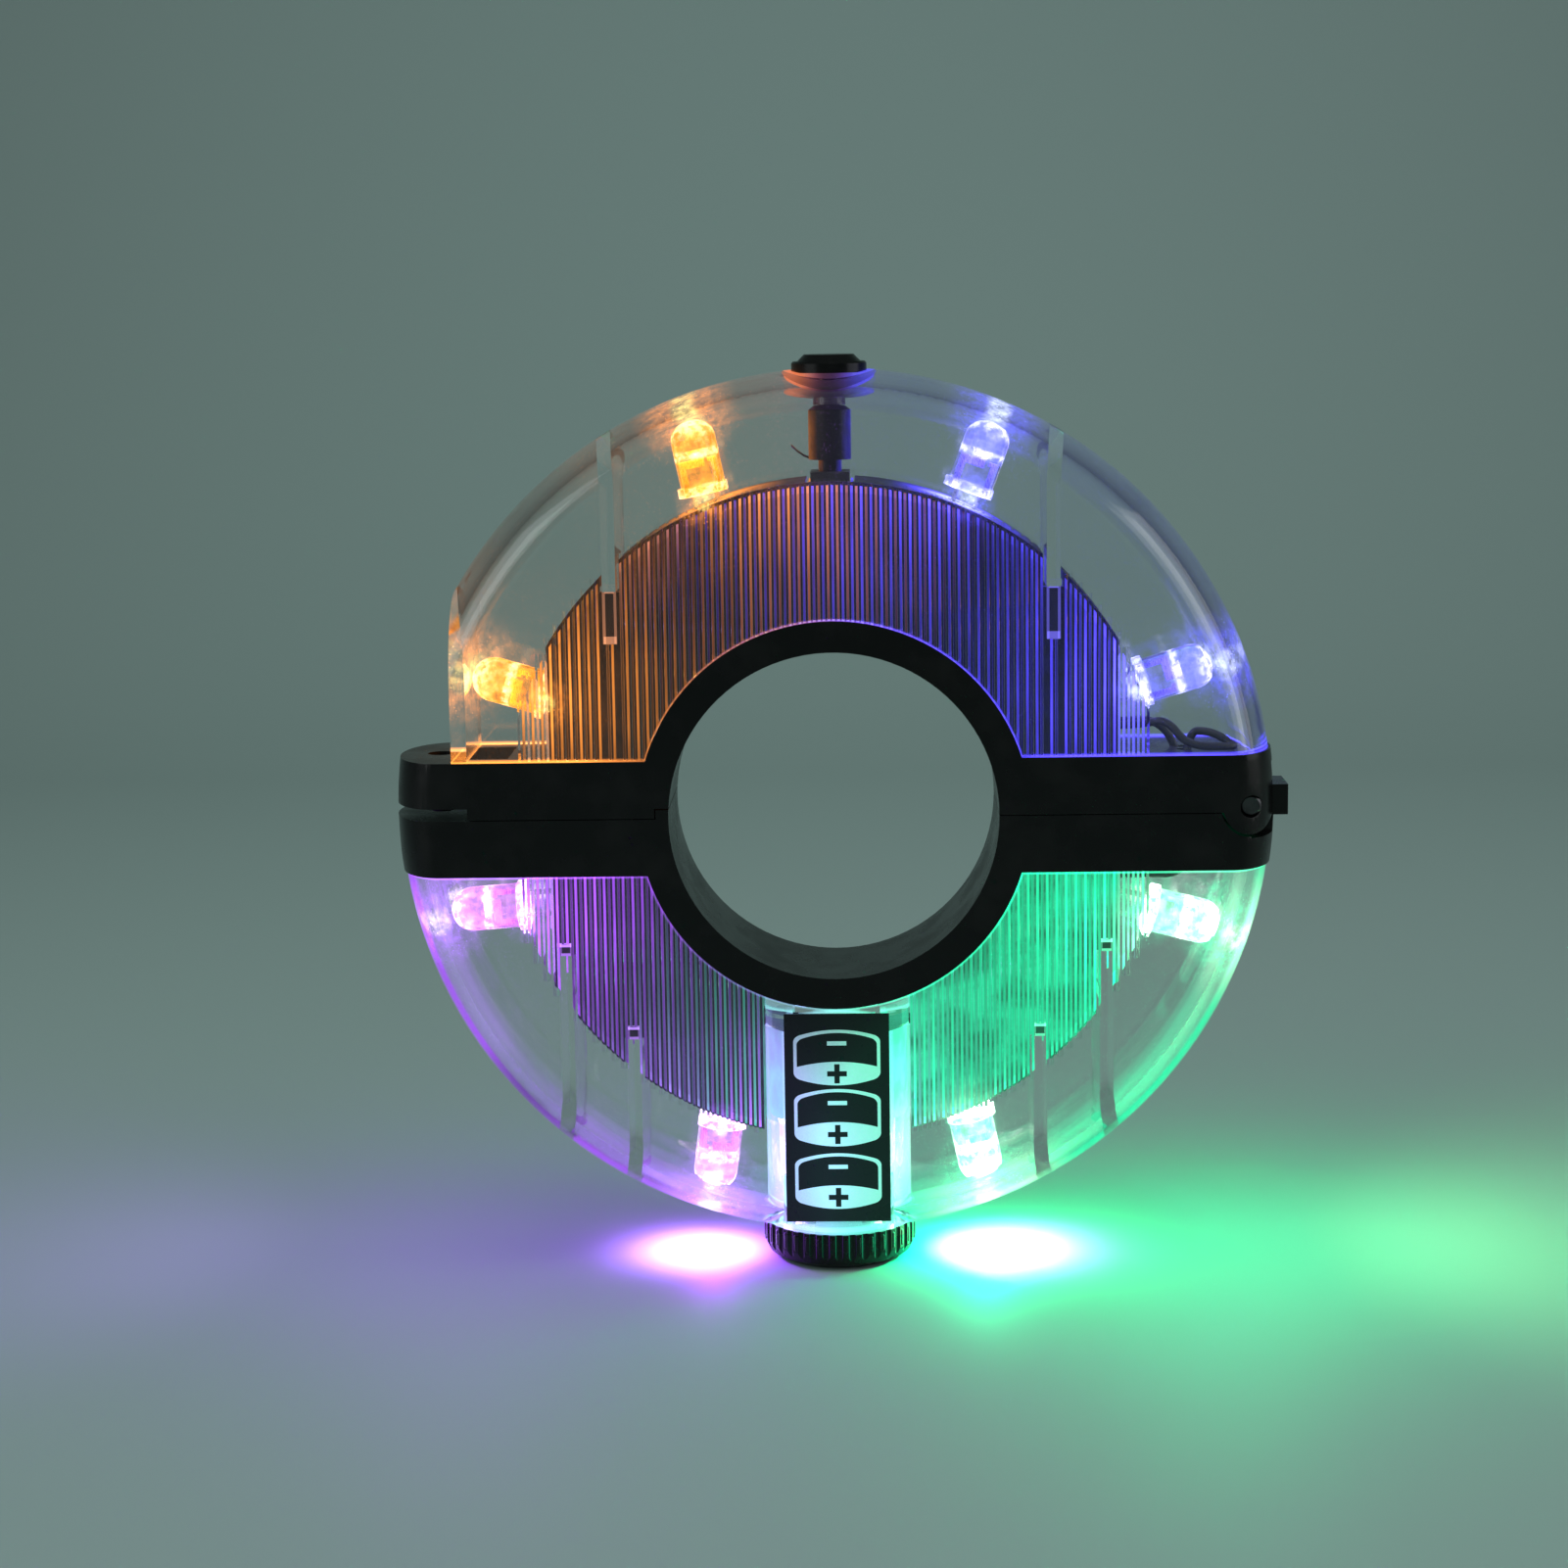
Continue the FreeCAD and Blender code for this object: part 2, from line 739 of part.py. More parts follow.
def lower_carrier(side):
    """One of the two carriers beside the battery tube, side is -1 for the left."""
    limits = sorted((side * tube_seat, side * carrier_reach))
    ribs = [rib for rib in lower_ribs() if rib[0] * side > 0]
    places = []
    for x, z, direction in magenta_places + green_places:
        if x * side > 0:
            places.append((x, -z, -direction))
    body = carrier(limits[0], limits[1], ribs, places)
    middle = window_width / 2
    window_x = sorted((side * (tube_seat - carrier_wall), side * (tube_seat + 2 * carrier_wall)))
    body = body.cut(block(window_x, (-middle, middle), window_z()))
    if side > 0:
        body = body.cut(wire_gaps(lower_entry_z))
    return flipped(one_solid(body))


def window_z():
    """Height of the wire windows of the battery tube, above the seam."""
    return (battery_top - wire_space_height, battery_top)


def board(x_low, x_high):
    """Curved circuit board that sits on the pegs of its carrier."""
    depth = (board_front, board_back)
    plate = across(board_radius, depth).cut(across(collar_radius + board_inner_gap, depth))
    low = bar_height + board_inner_gap
    plate = plate.common(block((x_low, x_high), depth, (low, board_radius)))
    return plate


def drilled(plate, x_low, x_high):
    holes = []
    for x, z in peg_places(x_low, x_high):
        holes.append(across(stake_radius + stake_gap, full_depth(), x, z))
    return plate.cut(holes)


def upper_board():
    plate = board(-board_reach, board_reach)
    side = board_tab_width / 2
    tab_top = carrier_radius - carrier_wall - board_tab_gap
    tab = block((-side, side), (board_front, board_back), (board_radius - 2, tab_top))
    return one_solid(drilled(plate.fuse(tab), -carrier_reach, carrier_reach))


def lower_board(side):
    near = tube_radius + carrier_wall + board_inner_gap
    limits = sorted((side * near, side * board_reach))
    carrier_limits = sorted((side * tube_seat, side * carrier_reach))
    plate = board(limits[0], limits[1])
    return flipped(one_solid(drilled(plate, carrier_limits[0], carrier_limits[1])))


def on_board(x, z, length, height, thickness):
    """Flat part soldered to the back of a board."""
    depth = (board_back, board_back + thickness)
    return block((x - length / 2, x + length / 2), depth, (z - height / 2, z + height / 2))


def controller_chip():
    return on_board(0, board_middle - chip_drop, chip_length, chip_height, chip_thickness)


def resistors(angles):
    """Chip resistors on a circle about the bore, at angles from +X towards +Z."""
    radius = board_middle - resistor_drop
    parts = []
    for angle in angles:
        x = radius * math.cos(math.radians(angle))
        z = radius * math.sin(math.radians(angle))
        parts.append(on_board(x, z, resistor_length, resistor_width, resistor_thickness))
    return Part.makeCompound(parts)


def lens_solid():
    """Clear body of one diode, pointing along +Z, without the room for its leads."""
    shoulder = lens_length - lens_radius
    body = upright(lens_radius, (0, shoulder))
    body = body.fuse(upright(flange_radius, (0, flange_thickness)))
    dome = Part.makeSphere(lens_radius, vec(0, 0, shoulder))
    body = body.fuse(dome)
    beyond = flange_radius + 1
    flat = block((flange_flat, beyond), (-beyond, beyond), (-1, lens_length))
    return body.cut(flat)


def lead_pair():
    """The two metal leads of one diode, which carry the cup and the post in the lens."""
    half = lead_size / 2
    offset = lead_spacing / 2
    foot_z = (-lead_run, -lead_run + lead_size)
    foot_y = (-half, board_front)
    cup_z = anvil_height + anvil_thickness
    left = block((-offset - half, -offset + half), (-half, half), (-lead_run, cup_z))
    left = left.fuse(block((-offset - half, -offset + half), foot_y, foot_z))
    left = left.fuse(block((-offset - half, cup_foot_radius), (-half, half), (anvil_height, cup_z)))
    cup = Part.makeCone(cup_foot_radius, cup_mouth_radius, cup_height, vec(0, 0, cup_z))
    hollow_z = cup_z + cup_height / 2
    hollow_top = cup_mouth_radius * 0.8
    hollow = Part.makeCone(cup_foot_radius * 0.7, hollow_top, cup_height / 2, vec(0, 0, hollow_z))
    left = left.fuse(cup).cut(hollow)
    right = block((offset - half, offset + half), (-half, half), (-lead_run, cup_z))
    right = right.fuse(block((offset - half, offset + half), foot_y, foot_z))
    head = block((offset - 2 * half, offset + half), (-half, half), (cup_z - lead_size, cup_z))
    right = right.fuse(head)
    return one_solid(left), one_solid(right)


def diode_lenses(places):
    left, right = lead_pair()
    lens = one_solid(lens_solid().cut([left, right]))
    return Part.makeCompound([placed(lens, place) for place in places])


def diode_leads(places):
    parts = []
    for place in places:
        for lead in lead_pair():
            parts.append(placed(lead, place))
    return Part.makeCompound(parts)


def switch_body():
    side = switch_width / 2
    depth = (switch_front, board_front)
    body = block((-side, side), depth, (switch_top - switch_height, switch_top))
    well = upright(switch_well_radius, (stem_bottom - 2 * button_travel, switch_top + 1))
    return one_solid(body.cut(well))


def switch_stem():
    return upright(stem_radius, (stem_bottom, stem_top))


def button_sleeve():
    chamfer_foot = sleeve_top - sleeve_chamfer
    body = turned([
        (0, sleeve_bottom), (sleeve_radius, sleeve_bottom), (sleeve_radius, chamfer_foot),
        (sleeve_radius - sleeve_chamfer, sleeve_top), (0, sleeve_top),
    ])
    hole = max(stem_radius, shaft_radius) + bore_slack
    return one_solid(body.cut(upright(hole, (sleeve_bottom - 1, sleeve_top + 1))))


def button_cap():
    """Round push button with its shaft."""
    disc_top = cup_rim + button_thickness
    edge = 0.2
    head = turned([
        (0, cup_rim), (button_radius, cup_rim), (button_radius, disc_top - edge),
        (button_radius - edge, disc_top), (crown_radius + crown_height, disc_top),
        (crown_radius, disc_top + crown_height), (0, disc_top + crown_height),
    ])
    shaft = upright(shaft_radius, (cup_rim - shaft_length, cup_rim))
    return one_solid(head.fuse(shaft))


def cell_levels():
    """Height of the lower face of each cell, the plus side, from the cap upwards."""
    return [-cells_bottom + index * cell_height for index in range(cell_count)]


def cell_cans():
    cans = []
    for z in cell_levels():
        can = upright(cell_radius, (z, z + cell_can_height))
        recess = upright(cell_recess_radius, (z + cell_can_height - cell_recess_depth, z + cell_height))
        cans.append(can.cut(recess))
    return Part.makeCompound(cans)


def cell_lids():
    lids = []
    for z in cell_levels():
        floor = z + cell_can_height - cell_recess_depth
        lids.append(upright(cell_lid_radius, (floor, z + cell_height)))
    return Part.makeCompound(lids)


def cell_gaskets():
    rings = []
    for z in cell_levels():
        span = (z + cell_can_height - cell_recess_depth, z + cell_can_height + cell_gasket_rise)
        ring = upright(cell_recess_radius - cell_gasket_gap, span)
        rings.append(ring.cut(upright(cell_lid_radius + cell_gasket_gap, span)))
    return Part.makeCompound(rings)


def battery_spring():
    """Spring between the upper contact and the first cell."""
    rise = spring_height - spring_wire
    pitch = rise / spring_turns
    low = -cells_top + spring_wire / 2
    gap = helix_gap(spring_radius, pitch, spring_turns, spring_wire / 2)
    print("battery spring, least gap to itself in mm:", round(gap, 3))
    return one_solid(helix_tube(spring_radius, pitch, spring_turns, low, spring_wire / 2))


def spring_contact():
    return upright(contact_radius, (-battery_top - contact_thickness, -battery_top))


def contact_strip():
    """Strip along the tube that leads the cap's contact up to the wires."""
    side = (-strip_half_width, strip_half_width)
    upright_part = block(side, (strip_front, strip_back), (-cells_bottom, -strip_top))
    tab_y = (strip_back - strip_tab_length, strip_back)
    tab = block(side, tab_y, (-strip_top - strip_thickness, -strip_top))
    return one_solid(upright_part.fuse(tab))


def cap_contact():
    return upright(cap_contact_radius, (-spigot_end, -cells_bottom))


def battery_cap():
    """Knurled screw cap with its threaded spigot, the foot that the light stands on."""
    dome_top = cap_bottom - cap_dome
    swell_radius = cap_foot_radius + 0.7 * (cap_radius - cap_foot_radius)
    body = turned([
        (0, -cap_bottom), (cap_foot_radius, -cap_bottom), (swell_radius, -cap_bottom + 0.4 * cap_dome),
        (cap_radius, -dome_top), (cap_radius, -cap_top), (spigot_radius, -cap_top),
        (spigot_radius, -spigot_end), (0, -spigot_end),
    ])
    thread_start = -cap_top + thread_lead_in
    thread_line = spigot_radius - thread_depth
    thread = helix_tube(thread_line, thread_pitch, thread_turns, thread_start, thread_radius)
    grooves = []
    for index in range(knurl_count):
        angle = 2 * math.pi * index / knurl_count
        centre = cap_radius + knurl_radius - knurl_depth
        x = centre * math.cos(angle)
        y = centre * math.sin(angle)
        grooves.append(upright(knurl_radius, (-cap_bottom - 1, -cap_top + cap_gap), x, y))
    return only_solid(body.fuse(thread).cut(grooves))


def battery_label():
    side = label_width / 2
    depth = (-half_depth - label_thickness, -half_depth)
    return block((-side, side), depth, (-label_bottom, -label_top))


# Heights at which the wires enter the carriers, above and below the seam
upper_entry_z = bar_height + 2.8
lower_entry_z = bar_height + 1.25


def upper_wires():
    """Two wires from the hinge to the upper board, one of them with some slack."""
    slack_x = wire_hole_x + 5.4
    slack_z = bar_height + wire_radius + 0.1
    straight = [
        vec(wire_hole_x, back_wire_y, seam_gap / 2),
        vec(wire_hole_x, back_wire_y, upper_entry_z + 0.4),
        vec(board_reach - 0.8, back_wire_y, upper_entry_z),
        vec(board_reach - 3.8, back_wire_y, upper_entry_z - 0.2),
        vec(board_reach - 3.8, board_front, upper_entry_z - 0.2),
    ]
    slack = [
        vec(wire_hole_x, front_wire_y, seam_gap / 2),
        vec(wire_hole_x, front_wire_y, bar_height + 2),
        vec(slack_x - 2.4, front_wire_y, bar_height + 2),
        vec(slack_x, front_wire_y - 0.4, slack_z),
        vec(slack_x, front_wire_y - 2.2, slack_z),
        vec(wire_hole_x + 0.2, front_wire_y - 2.2, slack_z + 0.05),
        vec(wire_hole_x - 2, front_wire_y - 1.4, upper_entry_z + 0.8),
        vec(wire_hole_x - 4.6, front_wire_y, upper_entry_z),
        vec(board_reach - 1.6, front_wire_y, upper_entry_z - 0.1),
        vec(board_reach - 6, front_wire_y + 0.4, upper_entry_z - 0.3),
        vec(board_reach - 6, board_front, upper_entry_z - 0.3),
    ]
    return Part.makeCompound([tube_along(route, wire_radius) for route in (straight, slack)])


def hinge_route(y, end_x):
    """Wire from the hinge side down through the lower bar to the right board."""
    return [
        vec(wire_hole_x, y, -seam_gap / 2),
        vec(wire_hole_x, y, -bar_height - 0.55),
        vec(wire_hole_x - 1.2, y, -lower_entry_z),
        vec(board_reach + 1.8, y, -lower_entry_z + 0.05),
        vec(end_x, y, -lower_entry_z - 0.1),
        vec(end_x, board_front, -lower_entry_z - 0.1),
    ]


def battery_routes():
    """Wires from the two battery contacts to the boards, and one that joins the boards."""
    on_contact = -battery_top + wire_radius
    on_strip = -strip_top + wire_radius
    board_x = tube_radius + 3.2
    far_x = board_x + 1.5
    from_spring = [
        vec(1.2, 0.6, on_contact),
        vec(board_x, 0.7, on_contact),
        vec(board_x, board_front, on_contact),
    ]
    from_strip = [
        vec(0.3, 4.6, on_strip),
        vec(-2.4, 0.75, on_strip),
        vec(-board_x, 0.7, on_strip),
        vec(-board_x, board_front, on_strip),
    ]
    between = [
        vec(-far_x, board_front, on_contact),
        vec(-far_x, -0.6, on_contact),
        vec(far_x, -0.6, on_contact),
        vec(far_x, board_front, on_contact),
    ]
    return [from_spring, from_strip, between]


def lower_wires():
    routes = [hinge_route(back_wire_y, board_reach - 3), hinge_route(front_wire_y, board_reach - 5.2)]
    routes += battery_routes()
    return Part.makeCompound([tube_along(route, wire_radius) for route in routes])


def build_parts():
    """Every node of the light by name."""
    return {
        "upper_frame": upper_frame(),
        "upper_cover": upper_cover(),
        "upper_carrier": upper_carrier(),
        "upper_board": upper_board(),
        "controller_chip": controller_chip(),
        "upper_resistors": resistors([50, 74, 106, 130]),
        "switch_body": switch_body(),
        "amber_led_lenses": diode_lenses(amber_places),
        "amber_led_leads": diode_leads(amber_places),
        "blue_led_lenses": diode_lenses(blue_places),
        "blue_led_leads": diode_leads(blue_places),
        "upper_wires": upper_wires(),
        "button_cap": button_cap(),
        "button_sleeve": button_sleeve(),
        "switch_stem": switch_stem(),
        "lower_frame": lower_frame(),
        "hinge_pin": hinge_pin(),
        "lower_cover": lower_cover(),
        "lower_left_carrier": lower_carrier(-1),
        "lower_right_carrier": lower_carrier(1),
        "lower_left_board": lower_board(-1),
        "lower_right_board": lower_board(1),
        "lower_resistors": resistors([-34, -45, -135, -146]),
        "magenta_led_lenses": diode_lenses(magenta_places),
        "magenta_led_leads": diode_leads(magenta_places),
        "green_led_lenses": diode_lenses(green_places),
        "green_led_leads": diode_leads(green_places),
        "lower_wires": lower_wires(),
        "battery_label": battery_label(),
        "cell_cans": cell_cans(),
        "cell_lids": cell_lids(),
        "cell_gaskets": cell_gaskets(),
        "battery_spring": battery_spring(),
        "spring_contact": spring_contact(),
        "contact_strip": contact_strip(),
        "cap_contact": cap_contact(),
        "battery_cap": battery_cap(),
    }


def main():
    os.makedirs("parts", exist_ok=True)
    for name, shape in build_parts().items():
        print(name, len(shape.Solids), shape.isValid(), round(shape.Volume, 2))
        shape.exportStep("parts/" + name + ".step")


main()
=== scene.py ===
"""Looks of the wheel hub light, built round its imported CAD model."""
import math
from functools import partialmethod

import bmesh
import bpy
from bpy.props import FloatProperty, FloatVectorProperty, PointerProperty
from mathutils import Matrix, Vector


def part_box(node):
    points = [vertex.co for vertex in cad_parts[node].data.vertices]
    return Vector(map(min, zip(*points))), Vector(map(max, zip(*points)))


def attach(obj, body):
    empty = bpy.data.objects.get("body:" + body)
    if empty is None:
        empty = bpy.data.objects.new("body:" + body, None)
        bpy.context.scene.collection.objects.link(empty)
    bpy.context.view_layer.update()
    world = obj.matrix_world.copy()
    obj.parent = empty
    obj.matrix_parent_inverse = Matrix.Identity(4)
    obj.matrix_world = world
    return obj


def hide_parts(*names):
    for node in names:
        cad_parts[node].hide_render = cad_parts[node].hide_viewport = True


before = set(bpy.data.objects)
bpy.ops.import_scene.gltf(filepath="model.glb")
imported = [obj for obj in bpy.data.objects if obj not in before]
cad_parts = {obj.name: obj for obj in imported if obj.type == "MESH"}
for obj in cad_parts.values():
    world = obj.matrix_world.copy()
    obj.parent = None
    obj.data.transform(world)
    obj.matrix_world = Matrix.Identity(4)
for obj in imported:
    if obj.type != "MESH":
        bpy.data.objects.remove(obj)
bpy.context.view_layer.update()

bl_info = {
    "name": "Wheel Hub Light",
    "version": (1, 0, 0),
    "blender": (4, 5, 0),
    "location": "3D View > Sidebar > Hub Light",
    "description": "Finishes and fine pieces of a clear hub light with eight coloured lamps",
    "category": "Object",
}

# One millimetre, because sizes are written in millimetres and Blender works in metres
MM = 0.001

# Main sizes of the CAD model
RING_RADIUS = 48.8
HALF_DEPTH = 8.2
WALL = 1.6
COLLAR_RADIUS = 21.6
BAR_HEIGHT = 6.4
CARRIER_RADIUS = 36.7
CARRIER_REACH = 31.4
FLUTE_DEPTH = 0.3
CUP_RADIUS = 5.05
CUP_FLOOR = 44.7

# Partition ribs: distance from the middle, and from where to where the bead at their end goes
RIBS = [(24.24, 19.3, 25.0), (22.66, -25.2, -23.7), (30.04, -15.6, -14.2)]
BEAD_HEIGHT = 0.5
LONG_BEAD = 3.0
TUBE_BORE = 6.2
TUBE_RADIUS = 8.2
FLOOR_LEVEL = -51.9

# Lamps: colour name, foot of the lens (x, z) and direction from +X towards +Z in degrees
LAMPS = [
    ("amber", -13.9, 35.2, 101.6),
    ("amber", -31.9, 13.0, 163.6),
    ("blue", 15.2, 35.0, 69.6),
    ("blue", 34.0, 13.5, 16.5),
    ("magenta", -34.8, -10.9, 184.5),
    ("magenta", -13.3, -35.8, 262.4),
    ("green", 14.8, -35.1, 281.7),
    ("green", 34.9, -12.0, 345.6),
]
COLOURS = ("amber", "blue", "magenta", "green")
LAMP_LENGTH = 8.7
# Height of the reflector cup's rim, where the light comes from
CUP_HEIGHT = 4.4

# How the lamps' light falls off: a scale, a softening in mm2, and how it gathers near a lamp
SPREAD_SCALE = 14.0
SOFTNESS = 100.0
NEARNESS = 4.0
# What is added to each colour where its light is very strong
HOT_LIGHT = {
    "amber": (0.25, 0.60, 0.20), "blue": (0.7, 0.8, 0.5),
    "magenta": (0.9, 0.9, 0.5), "green": (1, 0.6, 0.6),
}
# Strengths from and to which it is added: on a facing surface, all round, and in a halo
HOT_FACED = (1.0, 3.2)
HOT_AROUND = (8.0, 45.0)
HOT_HALO = (0.88, 1.0)
# The colour itself gets no stronger than this, and light weaker than the faintest is lost
STRONGEST = 1.2
FAINTEST = 0.06


def lamp_point(lamp, height):
    """Point on a lamp's axis, so far above the foot of its lens, in millimetres."""
    name, x, z, direction = lamp
    turn = math.radians(direction)
    return Vector((x + height * math.cos(turn), 0, z + height * math.sin(turn)))


def lamps_of(name):
    return [lamp for lamp in LAMPS if lamp[0] == name]


class Level:
    """A number in a material, on which Python's signs of arithmetic make Math nodes."""

    def __init__(self, finish, socket):
        self.finish = finish
        self.socket = socket

    def maths(self, operation, *values):
        return self.finish.maths(operation, self, *values)

    def turned(self, operation, other):
        """The same with the other number first."""
        return self.finish.maths(operation, other, self)

    __add__ = partialmethod(maths, "ADD")
    __radd__ = partialmethod(turned, "ADD")
    __sub__ = partialmethod(maths, "SUBTRACT")
    __rsub__ = partialmethod(turned, "SUBTRACT")
    __mul__ = partialmethod(maths, "MULTIPLY")
    __rmul__ = partialmethod(turned, "MULTIPLY")
    __truediv__ = partialmethod(maths, "DIVIDE")
    __rtruediv__ = partialmethod(turned, "DIVIDE")
    __gt__ = partialmethod(maths, "GREATER_THAN")
    __lt__ = partialmethod(maths, "LESS_THAN")
    __abs__ = partialmethod(maths, "ABSOLUTE")


class Nodes:
    """A node tree that is put together step by step."""

    def __init__(self, tree):
        self.tree = tree

    def node(self, kind, settings=None, values=None):
        """Adds a node: its settings first, then its sockets by name or number."""
        made = self.tree.nodes.new(kind)
        for name, setting in (settings or {}).items():
            setattr(made, name, setting)
        for name, value in (values or {}).items():
            if isinstance(value, Level):
                value = value.socket
            if isinstance(value, bpy.types.NodeSocket):
                self.tree.links.new(value, made.inputs[name])
            elif made.inputs[name].type == "RGBA":
                made.inputs[name].default_value = (*value, 1)
            else:
                made.inputs[name].default_value = value
        return made

    def blend(self, share, first, second):
        """Mixes two colours."""
        values = {0: share, 6: first, 7: second}
        return self.node("ShaderNodeMix", {"data_type": "RGBA"}, values).outputs[2]


class Finish(Nodes):
    """A material, in which sizes and places are in millimetres."""

    def __init__(self, name):
        self.material = bpy.data.materials.new(name)
        self.material.use_nodes = True
        super().__init__(self.material.node_tree)
        self.tree.nodes.clear()
        coordinates = self.node("ShaderNodeTexCoord")
        self.place = self.scaled(coordinates.outputs["Object"], 1 / MM)
        parts = self.node("ShaderNodeSeparateXYZ", values={0: self.place})
        self.x, self.y, self.z = [Level(self, parts.outputs[axis]) for axis in ("X", "Y", "Z")]

    def maths(self, operation, *values):
        made = self.node("ShaderNodeMath", {"operation": operation}, dict(enumerate(values)))
        return Level(self, made.outputs[0])

    def ramp(self, value, low, high, start=0.0, end=1.0):
        """Goes smoothly from start to end while the value goes from low to high."""
        values = {"Value": value, "From Min": low, "From Max": high, "To Min": start, "To Max": end}
        made = self.node("ShaderNodeMapRange", {"interpolation_type": "SMOOTHSTEP"}, values)
        return Level(self, made.outputs["Result"])

    def vector(self, operation, first, values):
        values[0] = first
        return self.node("ShaderNodeVectorMath", {"operation": operation}, values).outputs

    def multiplied(self, first, second):
        return self.vector("MULTIPLY", first, {1: second})[0]

    def scaled(self, first, factor):
        return self.vector("SCALE", first, {3: factor})[0]

    def total(self, first, second):
        return self.vector("ADD", first, {1: second})[0]

    def measure(self, operation, first, second=(0, 0, 0)):
        """A number from two vectors, such as their dot product."""
        return Level(self, self.vector(operation, first, {1: second})["Value"])

    def noise(self, size, detail=3.0, stretch=(1, 1, 1)):
        """Cloudy pattern with features of about the size, in millimetres."""
        place = self.multiplied(self.place, tuple(factor / size for factor in stretch))
        values = {"Vector": place, "Scale": 1.0, "Detail": detail, "Roughness": 0.55}
        return Level(self, self.node("ShaderNodeTexNoise", values=values).outputs[0])

    def cells(self, size, feature="F1"):
        """Distance to the nearest of points that lie about the size apart, in millimetres."""
        place = self.scaled(self.place, 1 / size)
        made = self.node("ShaderNodeTexVoronoi", {"feature": feature}, {"Vector": place, "Scale": 1.0})
        return Level(self, made.outputs["Distance"])

    def bumped(self, height, depth, strength=0.5):
        """Normal of a surface that a height pattern raises by up to the depth in millimetres."""
        values = {"Height": height, "Distance": depth * MM, "Strength": strength}
        return self.node("ShaderNodeBump", values=values).outputs[0]

    def outward(self):
        """Normal that points out of the solid, also where a surface is seen from inside."""
        geometry = self.node("ShaderNodeNewGeometry")
        side = 1 - Level(self, geometry.outputs["Backfacing"]) * 2
        return self.scaled(geometry.outputs["Normal"], side)

    def lamp_light(self, flatten=(1, 1, 1), edge=0.0):
        """Light that the lamps throw here: what falls on the facing surface, and all round."""
        outward = self.multiplied(self.outward(), flatten)
        above = self.z > 0
        faced, around = None, None
        for name in COLOURS:
            faced_sum, around_sum = 0, 0
            for lamp in lamps_of(name):
                ray = self.vector("SUBTRACT", lamp_point(lamp, CUP_HEIGHT), {1: self.place})[0]
                distance = self.measure("LENGTH", ray)
                spread = (distance * distance + SOFTNESS).maths("POWER", 1.5)
                weight = lamp_power(lamp) * SPREAD_SCALE / spread
                facing = self.measure("DOT_PRODUCT", ray, outward) / distance - edge
                faced_sum = weight * facing.maths("MAXIMUM", 0.0) / (1 - edge) + faced_sum
                around_sum = weight * weight * NEARNESS + around_sum
            same_half = above if lamps_of(name)[0][2] > 0 else 1 - above
            faced_sum = (faced_sum - FAINTEST).maths("MAXIMUM", 0.0)
            faced = self.add_light(faced, name, faced_sum * same_half, HOT_FACED)
            around = self.add_light(around, name, around_sum * same_half, HOT_AROUND)
        return faced, around

    def lamp_halo(self, height, reach):
        """Light patches round a point on each lamp's axis, seen square to the ring."""
        flat = self.multiplied(self.place, (1, 0, 1))
        total = None
        for name in COLOURS:
            strength = 0
            for lamp in lamps_of(name):
                away = self.measure("DISTANCE", flat, lamp_point(lamp, height))
                strength = self.ramp(away, reach, 0.5) + strength
            total = self.add_light(total, name, strength, HOT_HALO)
        return total

    def add_light(self, total, name, strength, hot_from_to):
        """Adds a lamp colour's light, which turns paler where it is very strong."""
        low, high = hot_from_to
        lit = self.scaled(lamp_colour(name), strength.maths("MINIMUM", STRONGEST))
        hot = self.scaled(HOT_LIGHT[name], self.ramp(strength, low, high))
        lit = self.total(lit, hot)
        return lit if total is None else self.total(total, lit)

    def painted_lamp_glow(self, facing_share, even_share, edge=0.0):
        """Painted glow of the lamps' light on a dark surface that they shine on."""
        faced, around = self.lamp_light(edge=edge)
        facing = self.scaled(faced, facing_share)
        return self.total(facing, self.scaled(around, even_share))

    def within(self, value, low, high):
        return (value > low) * (value < high)

    def surface(self, **values):
        """Principled shader, with socket names written with underscores."""
        named = {name.replace("_", " "): value for name, value in values.items()}
        if "Emission Color" in named:
            named.setdefault("Emission Strength", 1.0)
        return self.node("ShaderNodeBsdfPrincipled", values=named).outputs[0]

    def mix(self, share, first, second):
        """Mixes two shaders."""
        return self.node("ShaderNodeMixShader", values={0: share, 1: first, 2: second}).outputs[0]

    def clear_in_shadow(self, shader):
        """Lets light through to what is inside a clear piece."""
        path = self.node("ShaderNodeLightPath")
        passing = self.node("ShaderNodeBsdfTransparent", values={"Color": (0.93, 0.95, 0.95)})
        return self.mix(path.outputs["Is Shadow Ray"], shader, passing.outputs[0])

    def finish(self, shader):
        self.node("ShaderNodeOutputMaterial", values={"Surface": shader})
        return self.material

    def plain(self, **values):
        """The material, made of one Principled shader."""
        return self.finish(self.surface(**values))


def settings():
    return bpy.context.scene.hub_light


def lamp_colour(name):
    return tuple(getattr(settings(), name + "_light"))


def lamp_power(lamp):
    return getattr(settings(), lamp[0] + "_power")


def rib_marks(look, across, depth):
    """Painted shade in the cores and painted highlights on the edges of the beads at the ends of the
    ribs, as two masks.
    """
    inner_face = HALF_DEPTH - WALL
    dark, light = 0, 0
    for middle, low, high in RIBS:
        aside = abs(across - middle)
        along = look.within(look.z, low, high)
        if high - low > LONG_BEAD:
            foot, foot_light = look.within(look.z, low, low + 0.8), 0.45
            head = look.within(look.z, high - 0.15, high)
        else:
            foot, foot_light = look.within(look.z, high - 0.4, high), 1.0
            head = look.within(look.z, low, low + 0.3)
        core = (aside < 0.42) * along * (1 - foot) * (1 - head)
        dark = (aside < 0.8) * along + dark
        light = look.within(aside, 0.46, 0.8) * along * 0.3 + light
        light = (aside < 0.7) * foot * foot_light + light
        light = (aside < 0.5) * head * 0.6 + light
        light = core * 0.02 + light
    bead = look.within(depth, inner_face - BEAD_HEIGHT - 0.1, inner_face - 0.02)
    return dark * bead, light * bead


